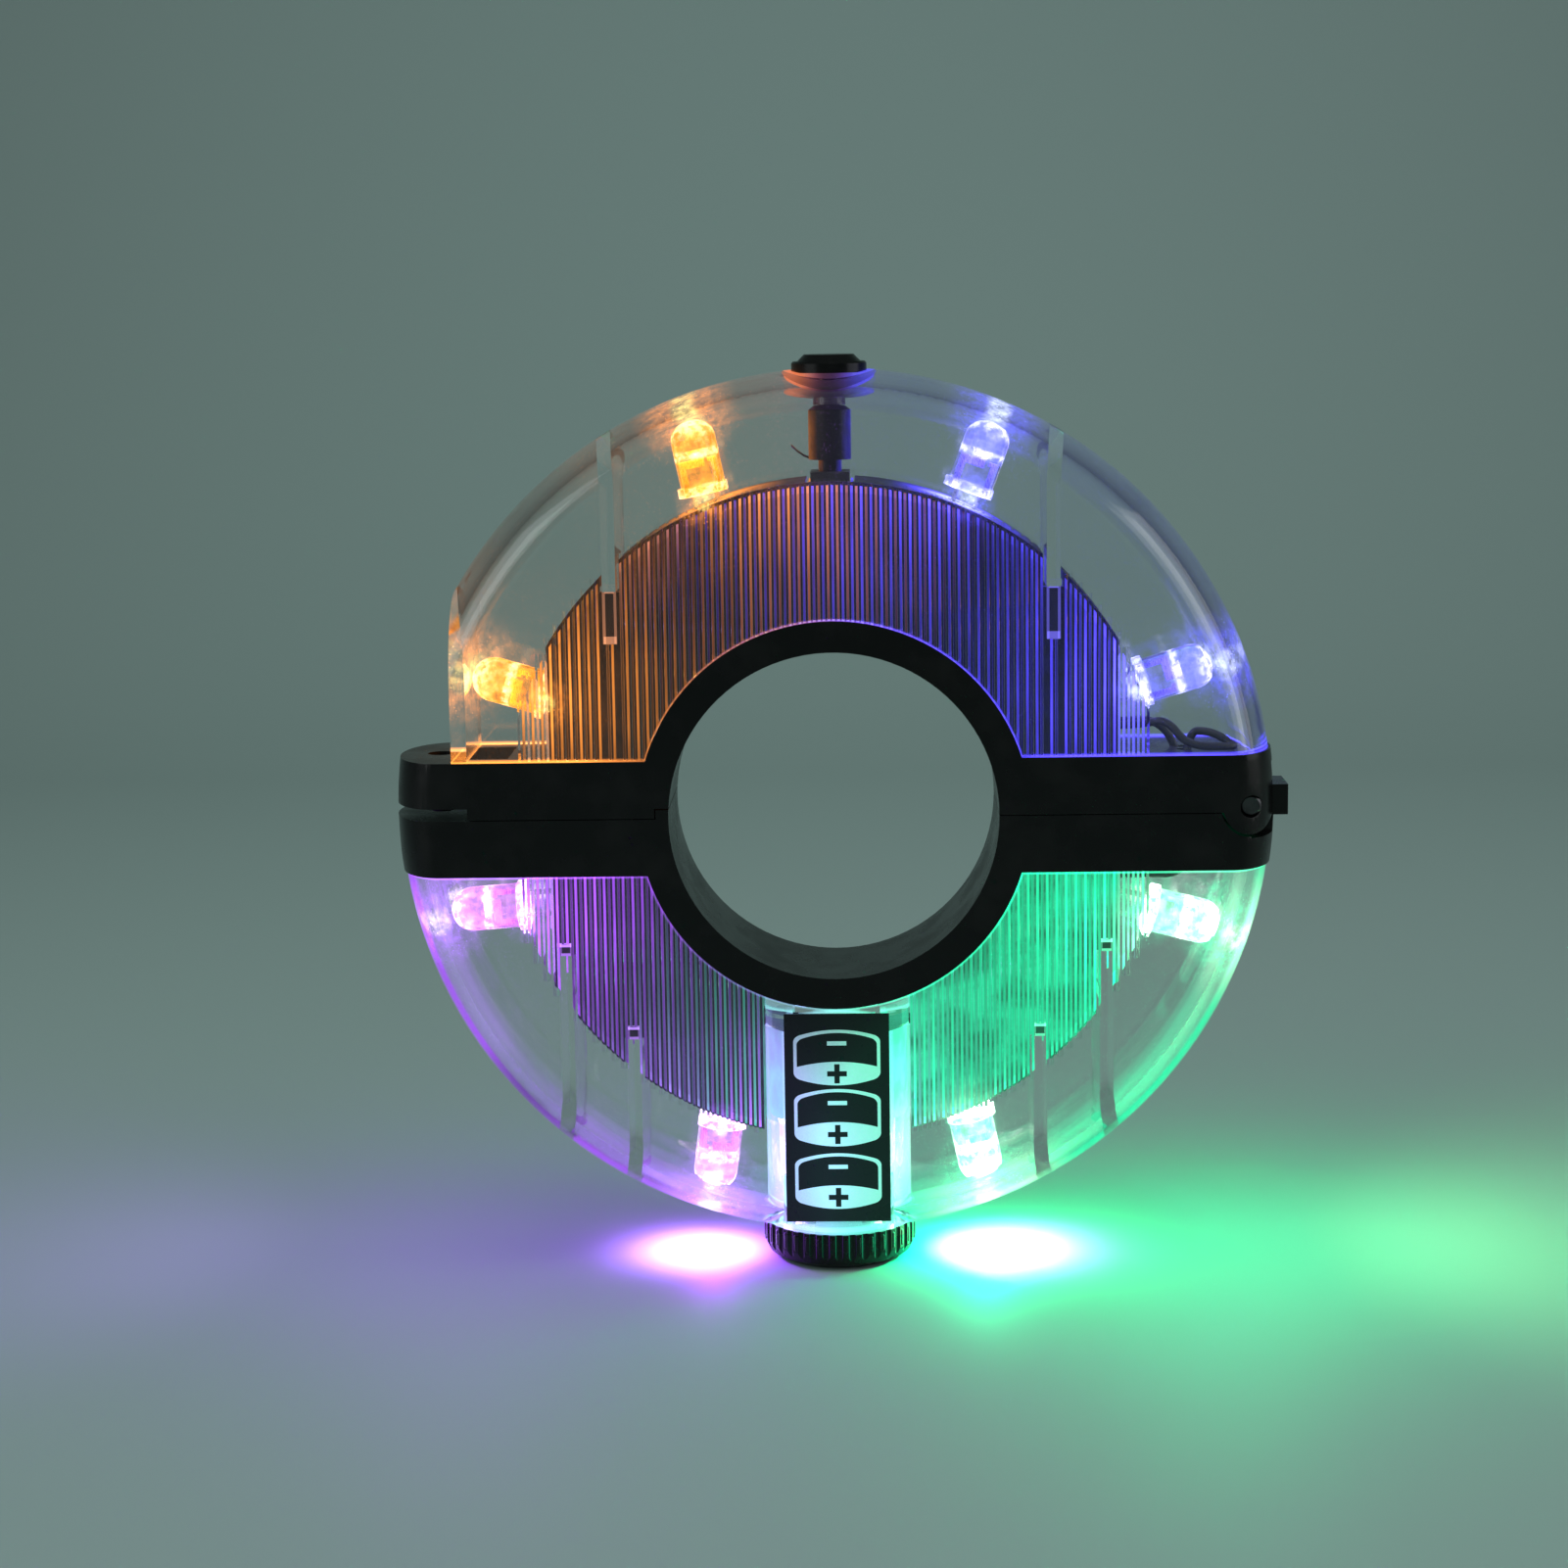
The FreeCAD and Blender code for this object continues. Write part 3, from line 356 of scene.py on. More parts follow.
def cover_glow(look, around, radius, level, depth):
    """Painted light of the lamps that the cover's seams, rim, dust, tube and cloudy patches catch."""
    plan = (look.x * look.x + look.y * look.y).maths("SQRT")
    edge = (level - BAR_HEIGHT).maths("MINIMUM", radius - COLLAR_RADIUS)
    seam = look.ramp(edge, 0.28, 0.12)
    rim = look.ramp(radius, 46.6, 47.3) * (look.z < 0)
    tube = look.within(plan, TUBE_BORE, TUBE_RADIUS + 0.4) * (look.z < -COLLAR_RADIUS)
    inside = depth < HALF_DEPTH - WALL - 0.1
    # Specks of dust on which painted glints of the lamps' light show
    dust = look.ramp(look.cells(0.42), 0.26, 0.08) * look.ramp(look.noise(2.2), 0.42, 0.6)
    halo = look.total(look.lamp_halo(LAMP_LENGTH + 0.6, 6.5), look.lamp_halo(-0.5, 3.6))
    even = inside * look.ramp(look.z, 6.0, -6.0, 0.010, 0.02) + 0.004
    share = seam * 0.9 + dust * 0.10 + rim * 0.12 + tube * 0.22 + even
    # Painted specks of light in the patches round the lamps
    speckle = look.ramp(look.noise(1.3, 4.0), 0.42, 0.68, 0.0, 0.42)
    patches = look.scaled(halo, dust + speckle + 0.06)
    return look.total(look.scaled(around, share), patches)


def flute_wall(look, faced, around, across, tops):
    """Flute walls painted as the dark plastic that shows in them, with painted streaks of the lamps'
    light.
    """
    # Painted streaks of lamp light along the flute walls, with a painted highlight at their tops
    streaks = look.ramp(look.noise(0.9, 3.0, (1, 1, 0.08)), 0.3, 0.7, 0.6, 1.4)
    green_side = (look.x > 0) * (look.z < 0)
    past_carrier = look.ramp(across, CARRIER_REACH - 0.6, CARRIER_REACH, 1.0, 2.6)
    strength = (streaks * (2.1 - green_side * 0.9) + tops * 0.8) * past_carrier
    even = green_side * 0.28 + (look.z < 0) * 0.14 + 0.005
    lit = look.scaled(faced, strength)
    return look.surface(
        Base_Color=(0.004, 0.004, 0.004), Roughness=0.5, Specular_IOR_Level=0.1,
        Emission_Color=look.total(lit, look.scaled(around, even)),
    )


def button_bowl(look, across):
    """Bowl of the button's cup: amber light from the left and blue light from the right."""
    warm = look.blend(look.ramp(look.x, -3.2, 3.2), (0.95, 0.22, 0.08), (0.10, 0.09, 1.0))
    outer = look.ramp(across, 0.3, 4.3, 0.10, 0.95)
    raised = look.ramp(look.z, 45.8, 47.9, 0.06, 1.0)
    return look.surface(
        Base_Color=(0.012, 0.012, 0.012), Roughness=0.3,
        Emission_Color=look.scaled(warm, outer * raised),
    )


def rib_end(look, around, bead_highlight):
    """Bead at the end of a rib, painted dark as shade, with painted highlights on its edges that the
    lamps colour.
    """
    pale = look.total(look.scaled(around, 1.2), (0.20, 0.19, 0.20))
    return look.surface(
        Base_Color=(0.004, 0.004, 0.004), Roughness=0.4,
        Emission_Color=look.scaled(pale, bead_highlight),
    )


def clear_plastic():
    """Clear moulded plastic: fine scratches and dust, with painted light of the lamps in flutes and
    edges.
    """
    look = Finish("clear_plastic")
    radius = (look.x * look.x + look.z * look.z).maths("SQRT")
    level = abs(look.z)
    depth = abs(look.y)
    across = abs(look.x)
    faced, around = look.lamp_light((1.35, 0.2, 1.35))
    scratches = look.noise(0.35, 4.0, (0.15, 1, 1))
    haze = look.noise(6.0, 3.0)
    shader = look.surface(
        Base_Color=(0.975, 0.985, 0.98), Roughness=look.ramp(haze, 0.35, 0.75, 0.02, 0.09), IOR=1.49,
        Transmission_Weight=1.0, Normal=look.bumped(scratches, 0.0015, 0.4),
        Emission_Color=cover_glow(look, around, radius, level, depth),
    )
    inner_face = HALF_DEPTH - WALL
    groove = look.within(depth, inner_face + 0.02, inner_face + FLUTE_DEPTH - 0.02)
    groove = groove * (radius > COLLAR_RADIUS + 0.15) * (level > BAR_HEIGHT + 0.1)
    arc = CARRIER_RADIUS - 0.35
    beyond = groove * look.within(radius, arc, CARRIER_RADIUS + 3)
    groove = groove * (radius < arc)
    # Flute walls with the carrier behind them are painted dark with painted lamp light; a painted
    # highlight runs along their tops
    backed = groove * look.ramp(across, CARRIER_REACH, CARRIER_REACH - 0.6, 0.25, 0.88)
    tops = groove * look.within(radius, CARRIER_RADIUS - 1.1, arc)
    shader = look.mix(backed, shader, flute_wall(look, faced, around, across, tops))
    gap = look.node("ShaderNodeBsdfTransparent", values={"Color": (1, 1, 1)}).outputs[0]
    shader = look.mix(beyond * 0.9, shader, gap)
    plan = (look.x * look.x + look.y * look.y).maths("SQRT")
    cup = (plan < CUP_RADIUS) * (look.z > CUP_FLOOR)
    shader = look.mix(cup * 0.86, shader, button_bowl(look, across))
    # Rib beads painted dark as shade, with painted highlights on their edges
    bead, bead_highlight = rib_marks(look, across, depth)
    shader = look.mix(bead * 0.9, shader, rib_end(look, around, bead_highlight))
    return look.finish(look.clear_in_shadow(shader))


def black_plastic(name="black_plastic", facing_share=0.03):
    """Satin black moulded plastic, finely grained, with dust, slightly rubbed patches and a painted
    glow of the lamps' light.
    """
    look = Finish(name)
    grain = look.noise(0.12, 4.0)
    cloud = look.noise(5.0, 4.0)
    dust = look.ramp(look.cells(0.9), 0.05, 0.02) * look.ramp(look.noise(3.0), 0.5, 0.7)
    rubbed = look.ramp(cloud, 0.4, 0.75)
    colour = look.blend(rubbed, (0.0035, 0.004, 0.004), (0.007, 0.0075, 0.0075))
    colour = look.blend(dust * 0.15, colour, (0.20, 0.20, 0.19))
    return look.plain(
        Base_Color=colour, Roughness=look.ramp(cloud, 0.3, 0.75, 0.22, 0.34), IOR=1.46,
        Specular_IOR_Level=0.24, Normal=look.bumped(grain, 0.008),
        # Painted light: glow of the lamps on the faces that turn towards them
        Emission_Color=look.painted_lamp_glow(facing_share, 0.0, 0.1),
    )


def lit_black(name, dark, light, rough, facing_share, even_share):
    """Dark plastic or rubber near the lamps, on which their light is painted in patches."""
    look = Finish(name)
    cloud = look.noise(4.0, 3.0)
    # How strong the painted lamp light is, patch by patch
    patchy = look.ramp(cloud, 0.32, 0.68, 0.4, 1.6)
    return look.plain(
        Base_Color=look.blend(cloud, dark, light), IOR=1.5, Specular_IOR_Level=0.15,
        Roughness=look.ramp(cloud, 0.3, 0.7, rough * 0.85, rough * 1.15),
        Normal=look.bumped(look.noise(0.15, 4.0), 0.01),
        Emission_Color=look.painted_lamp_glow(patchy * facing_share, patchy * even_share, 0.35),
    )


# Lit lenses: colour, how far the brightest parts go to white, how lit they are all over, and how
# deeply the epoxy is tinted
LENSES = {
    "amber": ((1.0, 0.38, 0.012), 0.26, 0.30, 0.7),
    "blue": ((0.20, 0.20, 1.0), 0.45, 0.14, 0.15),
    "magenta": ((0.85, 0.26, 1.0), 0.8, 0.22, 0.3),
    "green": ((0.35, 1.0, 0.65), 0.95, 0.45, 0.25),
}
WHITE = Vector((1, 1, 1))


def lens_epoxy(name):
    """Clear epoxy of a lamp that glows round its cup, at its foot and at its tip."""
    look = Finish(name + "_lens")
    colour, paleness, fill, depth = LENSES[name]
    colour = Vector(colour)
    lit = 0
    for lamp in lamps_of(name):
        foot, tip = lamp_point(lamp, 0), lamp_point(lamp, LAMP_LENGTH)
        axis = (tip - foot).normalized()
        from_foot = look.vector("SUBTRACT", look.place, {1: foot})[0]
        height = look.measure("DOT_PRODUCT", from_foot, axis)
        near = look.measure("DISTANCE", look.place, lamp_point(lamp, CUP_HEIGHT)) < 8
        bands = look.ramp(height, 6.0, 8.7) * 0.9 + look.ramp(height, 3.6, 5.6) * 0.2
        bands = look.ramp(abs(height - CUP_HEIGHT), 0.8, 0.1) * 0.65 + bands
        bands = look.ramp(height, 1.25, 0.8) * 0.6 + bands
        lit = bands * near + lit
    ripples = look.noise(0.9, 4.0)
    share = (lit + fill) * look.ramp(ripples, 0.32, 0.68, 0.35, 1.6)
    hot = look.ramp(share, 0.45, 1.2) * paleness
    tint = look.blend(hot, colour, colour.lerp(WHITE, 0.9))
    shader = look.surface(
        Base_Color=WHITE.lerp(colour, depth), IOR=1.5, Transmission_Weight=1.0,
        Roughness=look.ramp(ripples, 0.3, 0.7, 0.02, 0.08),
        Emission_Color=look.scaled(tint, share * 1.3),
    )
    return look.finish(look.clear_in_shadow(shader))


def lamp_die(name):
    """Chip of a lamp, the source of its light."""
    look = Finish(name + "_die")
    colour = Vector(lamp_colour(name))
    bright = look.ramp(look.noise(0.2, 2.0), 0.3, 0.7, 0.8, 1.2)
    glow = look.scaled(colour.lerp(WHITE, 0.6), bright)
    return look.plain(
        Base_Color=colour, Roughness=0.4, Emission_Color=glow, Emission_Strength=12.0,
    )


def metal(name, colour, dark, size, rough):
    """Bare metal with fine brushed marks, stains and a little colour change."""
    look = Finish(name)
    brushed = look.noise(size, 4.0, (1, 1, 0.12))
    stain = look.noise(1.8, 4.0)
    tint = look.blend(look.ramp(stain, 0.35, 0.75), colour, dark)
    roughness = look.ramp(brushed, 0.3, 0.7, rough * 0.7, rough * 1.4)
    return look.plain(
        Base_Color=tint, Metallic=1.0, Roughness=roughness, Normal=look.bumped(brushed, 0.01, 0.3))


def lamp_lead(name):
    """Tinned lead frame of a lamp, lit up where it holds the chip."""
    look = Finish(name + "_lead")
    brushed = look.noise(0.12, 4.0, (1, 1, 0.3))
    lit = 0
    for lamp in lamps_of(name):
        cup = look.measure("DISTANCE", look.place, lamp_point(lamp, CUP_HEIGHT))
        lit = look.ramp(cup, 4.5, 0.5) + lit
    glow = look.scaled(lamp_colour(name), lit * look.ramp(brushed, 0.3, 0.7, 1.0, 2.2))
    return look.plain(
        Base_Color=(0.62, 0.62, 0.60), Metallic=1.0, Roughness=look.ramp(brushed, 0.3, 0.7, 0.2, 0.4),
        Normal=look.bumped(brushed, 0.01, 0.3), Emission_Color=glow,
    )


def dull(name, colour, light, size, rough):
    """Plastic or rubber with grain and slight changes of colour."""
    look = Finish(name)
    cloud = look.noise(size * 12, 4.0)
    tint = look.blend(look.ramp(cloud, 0.35, 0.7), colour, light)
    roughness = look.ramp(cloud, 0.3, 0.7, rough * 0.85, rough * 1.2)
    normal = look.bumped(look.noise(size, 4.0), 0.02)
    return look.plain(Base_Color=tint, Roughness=roughness, IOR=1.5, Normal=normal)


def board_lacquer():
    """Green solder mask with copper tracks that show faintly under it."""
    look = Finish("board_green")
    track = look.ramp(look.cells(2.6, "DISTANCE_TO_EDGE"), 0.10, 0.06)
    cloud = look.noise(3.0, 3.0)
    plain = look.blend(cloud, (0.010, 0.085, 0.030), (0.014, 0.11, 0.04))
    colour = look.blend(track * 0.6, plain, (0.03, 0.20, 0.06))
    weave = look.noise(0.25, 2.0, (1, 1, 0.3))
    normal = look.bumped(track + weave * 0.2, 0.03)
    roughness = look.ramp(cloud, 0.3, 0.7, 0.25, 0.4)
    return look.plain(Base_Color=colour, Roughness=roughness, IOR=1.5, Normal=normal)


def label_film():
    """Black film of the label, with a faint leather-like texture of the laminate."""
    look = Finish("label_film")
    cloud = look.noise(4.0, 3.0)
    colour = look.blend(cloud, (0.004, 0.004, 0.0045), (0.008, 0.008, 0.009))
    normal = look.bumped(look.noise(0.35, 3.0), 0.01, 0.4)
    roughness = look.ramp(cloud, 0.3, 0.7, 0.22, 0.34)
    return look.plain(
        Base_Color=colour, Roughness=roughness, IOR=1.5, Specular_IOR_Level=0.2, Normal=normal,
        # Painted light: a faint glow of the lamps all over the film
        Emission_Color=look.painted_lamp_glow(0.0, 0.012),
    )


def label_ink():
    """White ink of the label, slightly uneven."""
    look = Finish("label_ink")
    grain = look.noise(0.18, 3.0)
    colour = look.blend(look.ramp(grain, 0.3, 0.7), (0.30, 0.32, 0.32), (0.36, 0.38, 0.38))
    normal = look.bumped(grain, 0.005, 0.4)
    roughness = look.ramp(grain, 0.3, 0.7, 0.35, 0.5)
    return look.plain(
        Base_Color=colour, Roughness=roughness, IOR=1.5, Normal=normal,
        # Painted light: a strong glow of the lamps in their colours on the ink
        Emission_Color=look.painted_lamp_glow(0.0, 0.6),
    )


def dress(node, material):
    """Gives a CAD node its finish."""
    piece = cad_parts[node]
    if not piece.material_slots:
        piece.data.materials.append(material)
    for slot in piece.material_slots:
        slot.material = material


def added(name, data, materials=()):
    """Adds an object that holds the data, and its materials, to the scene."""
    for material in materials:
        data.materials.append(material)
    made = bpy.data.objects.new(name, data)
    bpy.context.scene.collection.objects.link(made)
    return made


def mesh_piece(name, points, faces, materials, finishes=None, smooth_angle=None):
    """Makes a piece from points in millimetres, with one finish number for each face."""
    mesh = bpy.data.meshes.new(name)
    mesh.from_pydata([Vector(point) * MM for point in points], [], faces)
    if finishes:
        for polygon, finish in zip(mesh.polygons, finishes):
            polygon.material_index = finish
    mesh.update()
    if smooth_angle:
        mesh.shade_smooth()
        mesh.set_sharp_from_angle(angle=math.radians(smooth_angle))
    return added(name, mesh, materials)


def softened(node, body, material):
    """Copy of a CAD node with its sharp edges rounded."""
    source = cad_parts[node]
    mesh = source.data.copy()
    mesh.transform(source.matrix_world)
    work = bmesh.new()
    work.from_mesh(mesh)
    bmesh.ops.remove_doubles(work, verts=work.verts, dist=1e-6)
    bmesh.ops.dissolve_limit(work, angle_limit=math.radians(0.5), verts=work.verts, edges=work.edges)
    work.to_mesh(mesh)
    work.free()
    raw = added(node + "_raw", mesh)
    bevel = raw.modifiers.new("rounded_edges", "BEVEL")
    bevel.width = settings().edge_rounding
    bevel.segments = 2
    bevel.limit_method = "ANGLE"
    bevel.angle_limit = math.radians(40)
    even = raw.modifiers.new("even_shading", "WEIGHTED_NORMAL")
    even.keep_sharp = True
    mesh.shade_smooth()
    piece = plain_piece(raw, node + "_softened", material)
    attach(piece, body)
    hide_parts(node)


def plain_piece(raw, name, material):
    """Turns what an object's modifiers make into a plain mesh, and removes the object."""
    seen = raw.evaluated_get(bpy.context.evaluated_depsgraph_get())
    mesh = bpy.data.meshes.new_from_object(seen)
    mesh.name = name
    mesh.materials.clear()
    bpy.data.objects.remove(raw)
    return added(name, mesh, [material])


class Shape:
    """Collects points, faces and their finishes for one piece."""

    def __init__(self):
        self.points = []
        self.faces = []
        self.finishes = []

    def add(self, points, faces, finish=0, place=Matrix()):
        start = len(self.points)
        self.points += [place @ Vector(point) for point in points]
        self.faces += [[start + index for index in face] for face in faces]
        self.finishes += [finish] * len(faces)

    def box(self, low, high, finish=0, place=Matrix()):
        (left, front, foot), (right, back, head) = low, high
        points = [(x, y, z) for x in (left, right) for y in (front, back) for z in (foot, head)]
        faces = [(0, 1, 3, 2), (4, 6, 7, 5), (0, 4, 5, 1), (2, 3, 7, 6), (0, 2, 6, 4), (1, 5, 7, 3)]
        self.add(points, faces, finish, place)

    def piece(self, name, materials, smooth_angle=None):
        return mesh_piece(name, self.points, self.faces, materials, self.finishes, smooth_angle)


# Cell marks on the label: where each starts and ends, as shares of the label's height from its
# top, half of a mark's width, its line's width and how many steps its curves have
CELL_MARKS = ((0.0763, 0.342), (0.3596, 0.636), (0.669, 0.9386))
MARK_HALF_WIDTH = 4.83
MARK_LINE = 0.36
MARK_STEPS = 40
# How far in front of each other the film, the lines, the signs and the plus lie
INK_LEVELS = (0.01, 0.014, 0.018)


def arched(share, corner=0.86):
    """How far an edge of a cell mark has dropped, 0 in the middle and 1 at its side."""
    bend = 0.62 * share * share
    round_part = max(0.0, (abs(share) - corner) / (1 - corner))
    return bend + 0.38 * (1 - math.sqrt(max(0.0, 1 - round_part * round_part)))


def mark_shares():
    """Steps across a mark, from -1 to 1 and closer together at its sides."""
    return [math.sin(math.pi * (step / MARK_STEPS - 0.5)) for step in range(MARK_STEPS + 1)]


def icon_edge(top, bottom, inset):
    """Outline of a cell drawn in perspective, as (x, z): lower edge rightwards, upper back."""
    height = top - bottom
    side = MARK_HALF_WIDTH - inset
    shares = mark_shares()
    low, high = bottom + inset, top - inset
    points = [(side * share, low + 0.23 * height * arched(share)) for share in shares]
    points += [(side * share, high - 0.21 * height * arched(share)) for share in reversed(shares)]
    return points


def add_icon(shape, top, bottom, front):
    """One white cell outline with a white foot, a minus above and a black plus on the foot."""
    height = top - bottom
    line_depth, white_depth, plus_depth = (front - level for level in INK_LEVELS)
    outline = icon_edge(top, bottom, 0) + icon_edge(top, bottom, MARK_LINE)
    count = len(outline) // 2
    faces = []
    for index in range(count):
        after = (index + 1) % count
        faces.append((index, after, count + after, count + index))
    shape.add([(x, line_depth, z) for x, z in outline], faces, 1)
    foot = []
    for share in mark_shares():
        x = (MARK_HALF_WIDTH - 0.1) * share
        low = bottom + 0.1 + 0.23 * height * arched(share)
        high = bottom + height * (0.424 - 0.10 * share * share)
        foot += [(x, white_depth, low), (x, white_depth, high)]
    shape.add(foot, [(2 * i, 2 * i + 2, 2 * i + 3, 2 * i + 1) for i in range(MARK_STEPS)], 1)
    minus = top - 0.244 * height
    add_mark(shape, (-1.08, 1.08), (minus - 0.24, minus + 0.24), white_depth, 1)
    plus = top - 0.792 * height
    arm, reach = 0.3, 1.1
    add_mark(shape, (-reach, reach), (plus - arm, plus + arm), plus_depth, 0)
    add_mark(shape, (-arm, arm), (plus + arm, plus + reach), plus_depth, 0)
    add_mark(shape, (-arm, arm), (plus - reach, plus - arm), plus_depth, 0)


def add_mark(shape, across, upward, depth, finish):
    points = [(x, depth, z) for z in upward for x in across]
    shape.add(points, [(0, 1, 3, 2)], finish)


def hub_label(film, ink):
    """Film with three cell marks, on the front of the battery tube."""
    low, high = (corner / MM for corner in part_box("battery_label"))
    height = high.z - low.z
    shape = Shape()
    shape.box(low, high)
    for start, end in CELL_MARKS:
        add_icon(shape, high.z - start * height, high.z - end * height, low.y)
    return shape.piece("label_with_marks", [film, ink])


# Routes of the two wires above the right bar, from the hinge to the board, in millimetres
STRAIGHT_WIRE = [
    (38.8, -0.4, 0.05), (38.8, -0.4, 9.6), (29.4, -0.4, 9.2), (26.4, -0.4, 9.0), (26.4, 3.0, 9.0),
]
SLACK_WIRE = [
    (38.8, -2.6, 0.05), (38.8, -2.6, 8.4), (41.8, -2.6, 8.4), (44.2, -3.0, 6.95), (44.2, -4.8, 6.95),
    (39.0, -4.8, 7.0), (36.8, -4.0, 10.0), (34.2, -2.6, 9.2), (28.6, -2.6, 9.1), (24.2, -2.2, 8.9),
    (24.2, 3.0, 8.9),
]


def wire_loops(material):
    """Two insulated wires with smooth bends."""
    curve = bpy.data.curves.new("wire_route", "CURVE")
    curve.dimensions = "3D"
    curve.bevel_depth = settings().wire_radius
    curve.bevel_resolution = 5
    curve.use_fill_caps = True
    for route in (STRAIGHT_WIRE, SLACK_WIRE):
        spline = curve.splines.new("NURBS")
        spline.points.add(len(route) - 1)
        for point, place in zip(spline.points, route):
            point.co = (*(Vector(place) * MM), 1)
        spline.order_u = 3
        spline.resolution_u = 16
        spline.use_endpoint_u = True
    piece = plain_piece(added("wire_route", curve), "upper_wire_loops", material)
    piece.data.shade_smooth()
    return piece


class Grower(Nodes):
    """A geometry node tree with named inputs, built step by step."""

    def __init__(self, name, inputs):
        super().__init__(bpy.data.node_groups.new(name, "GeometryNodeTree"))
        self.sockets = {}
        new_socket = self.tree.interface.new_socket
        for label, kind, value in inputs:
            socket = new_socket(label, in_out="INPUT", socket_type="NodeSocket" + kind)
            if value is not None:
                socket.default_value = value
            self.sockets[label] = socket.identifier
        new_socket("Geometry", in_out="OUTPUT", socket_type="NodeSocketGeometry")
        self.start = self.node("NodeGroupInput")
        self.end = self.node("NodeGroupOutput")

    def made(self, kind, settings=None, values=None):
        """What a new node makes."""
        return self.node(kind, settings, values).outputs[0]

    def upward(self, height):
        return self.made("ShaderNodeCombineXYZ", values={"Z": height})

    def given(self, label):
        return self.start.outputs[label]

    def grow(self, name, mesh, material, inputs):
        """Runs the tree on a mesh and returns the result as a plain piece."""
        raw = added(name + "_start", mesh)
        modifier = raw.modifiers.new(name, "NODES")
        modifier.node_group = self.tree
        for label, value in inputs.items():
            modifier[self.sockets[label]] = value
        piece = plain_piece(raw, name, material)
        piece.data.shade_smooth()
        piece.data.set_sharp_from_angle(angle=math.radians(40))
        return piece


def ridge_tree():
    """Rounded ridges that stand round a cap, each a bar with a round head and foot."""
    tree = Grower("cap_ridges", [
        ("Geometry", "Geometry", None),
        ("Count", "Int", 36),
        ("Ring radius", "Float", 0.008),
        ("Ridge radius", "Float", 0.0003),
        ("Ridge length", "Float", 0.002),
        ("Height", "Float", 0.0),
        ("Turn", "Float", 0.0),
        ("Finish", "Material", None),
    ])
    ridge_radius, ridge_length = tree.given("Ridge radius"), tree.given("Ridge length")
    ring = tree.made("GeometryNodeMeshCircle", values={
        "Vertices": tree.given("Count"), "Radius": tree.given("Ring radius")})
    bar = tree.made("GeometryNodeMeshCylinder", {"fill_type": "NONE"}, {
        "Vertices": 12, "Radius": ridge_radius, "Depth": ridge_length})
    ball = tree.made("GeometryNodeMeshUVSphere", values={
        "Segments": 12, "Rings": 8, "Radius": ridge_radius})
    ridge = tree.node("GeometryNodeJoinGeometry")
    tree.tree.links.new(bar, ridge.inputs[0])
    for share in (0.5, -0.5):
        height = tree.made("ShaderNodeMath", {"operation": "MULTIPLY"}, {0: ridge_length, 1: share})
        end = tree.made("GeometryNodeTransform", values={
            "Geometry": ball, "Translation": tree.upward(height)})
        tree.tree.links.new(end, ridge.inputs[0])
    outward = tree.made("FunctionNodeAlignEulerToVector", {"axis": "X"}, {
        "Vector": tree.made("GeometryNodeInputPosition")})
    stood = tree.made("GeometryNodeInstanceOnPoints", values={
        "Points": ring, "Instance": ridge.outputs[0], "Rotation": outward})
    moved = tree.made("GeometryNodeTransform", values={
        "Geometry": tree.made("GeometryNodeRealizeInstances", values={"Geometry": stood}),
        "Translation": tree.upward(tree.given("Height")), "Rotation": tree.upward(tree.given("Turn"))})
    finished = tree.made("GeometryNodeSetMaterial", values={
        "Geometry": moved, "Material": tree.given("Finish")})
    tree.tree.links.new(finished, tree.end.inputs[0])
    return tree


# Knurl of the battery cap
RIDGE_COUNT = 36
RIDGE_RING = 8.4
RIDGE_LENGTH = 1.5
RIDGE_MIDDLE = -48.9


def cap_ridges(material):
    """Rounded crowns of the cap's knurl."""
    return ridge_tree().grow("cap_ridges", bpy.data.meshes.new("cap_ridges_start"), material, {
        "Count": RIDGE_COUNT,
        "Ring radius": RIDGE_RING * MM,
        "Ridge radius": settings().ridge_radius,
        "Ridge length": RIDGE_LENGTH * MM,
        "Height": RIDGE_MIDDLE * MM,
        "Turn": math.pi / RIDGE_COUNT,
        "Finish": material,
    })


def sleeve_flash(material):
    """Thin tail of moulding flash at the lower left of the sleeve."""
    shape = Shape()
    points, faces = [], []
    route = [(-2.2, 0, 38.95), (-2.9, -0.1, 39.25), (-3.6, -0.1, 39.75), (-4.25, -0.1, 40.35)]
    for x, y, z in route:
        thick = 0.17 if x < -4 else 0.13
        points += [(x, y - thick, z), (x, y, z - thick), (x, y + thick, z), (x, y, z + thick)]
    for ring in range(len(route) - 1):
        for side in range(4):
            after = (side + 1) % 4
            faces.append((4 * ring + side, 4 * ring + after, 4 * ring + 4 + after, 4 * ring + 4 + side))
    last = 4 * (len(route) - 1)
    faces += [(3, 2, 1, 0), (last, last + 1, last + 2, last + 3)]
    shape.add(points, faces)
    return shape.piece("sleeve_flash", [material], 60)


def lamp_place(lamp):
    """Turns a shape that is built along +Z, in millimetres, to where a lamp stands."""
    foot = lamp_point(lamp, 0)
    turn = Matrix.Rotation(math.radians(90 - lamp[3]), 4, "Y")
    return Matrix.Translation(foot) @ turn


def lamp_dies(name, material):
    """Lit chips in the cups of the two lamps of a colour."""
    shape = Shape()
    for lamp in lamps_of(name):
        shape.box((-0.2, -0.2, 4.35), (0.2, 0.2, 4.6), 0, lamp_place(lamp))
    return shape.piece(name + "_dies", [material])


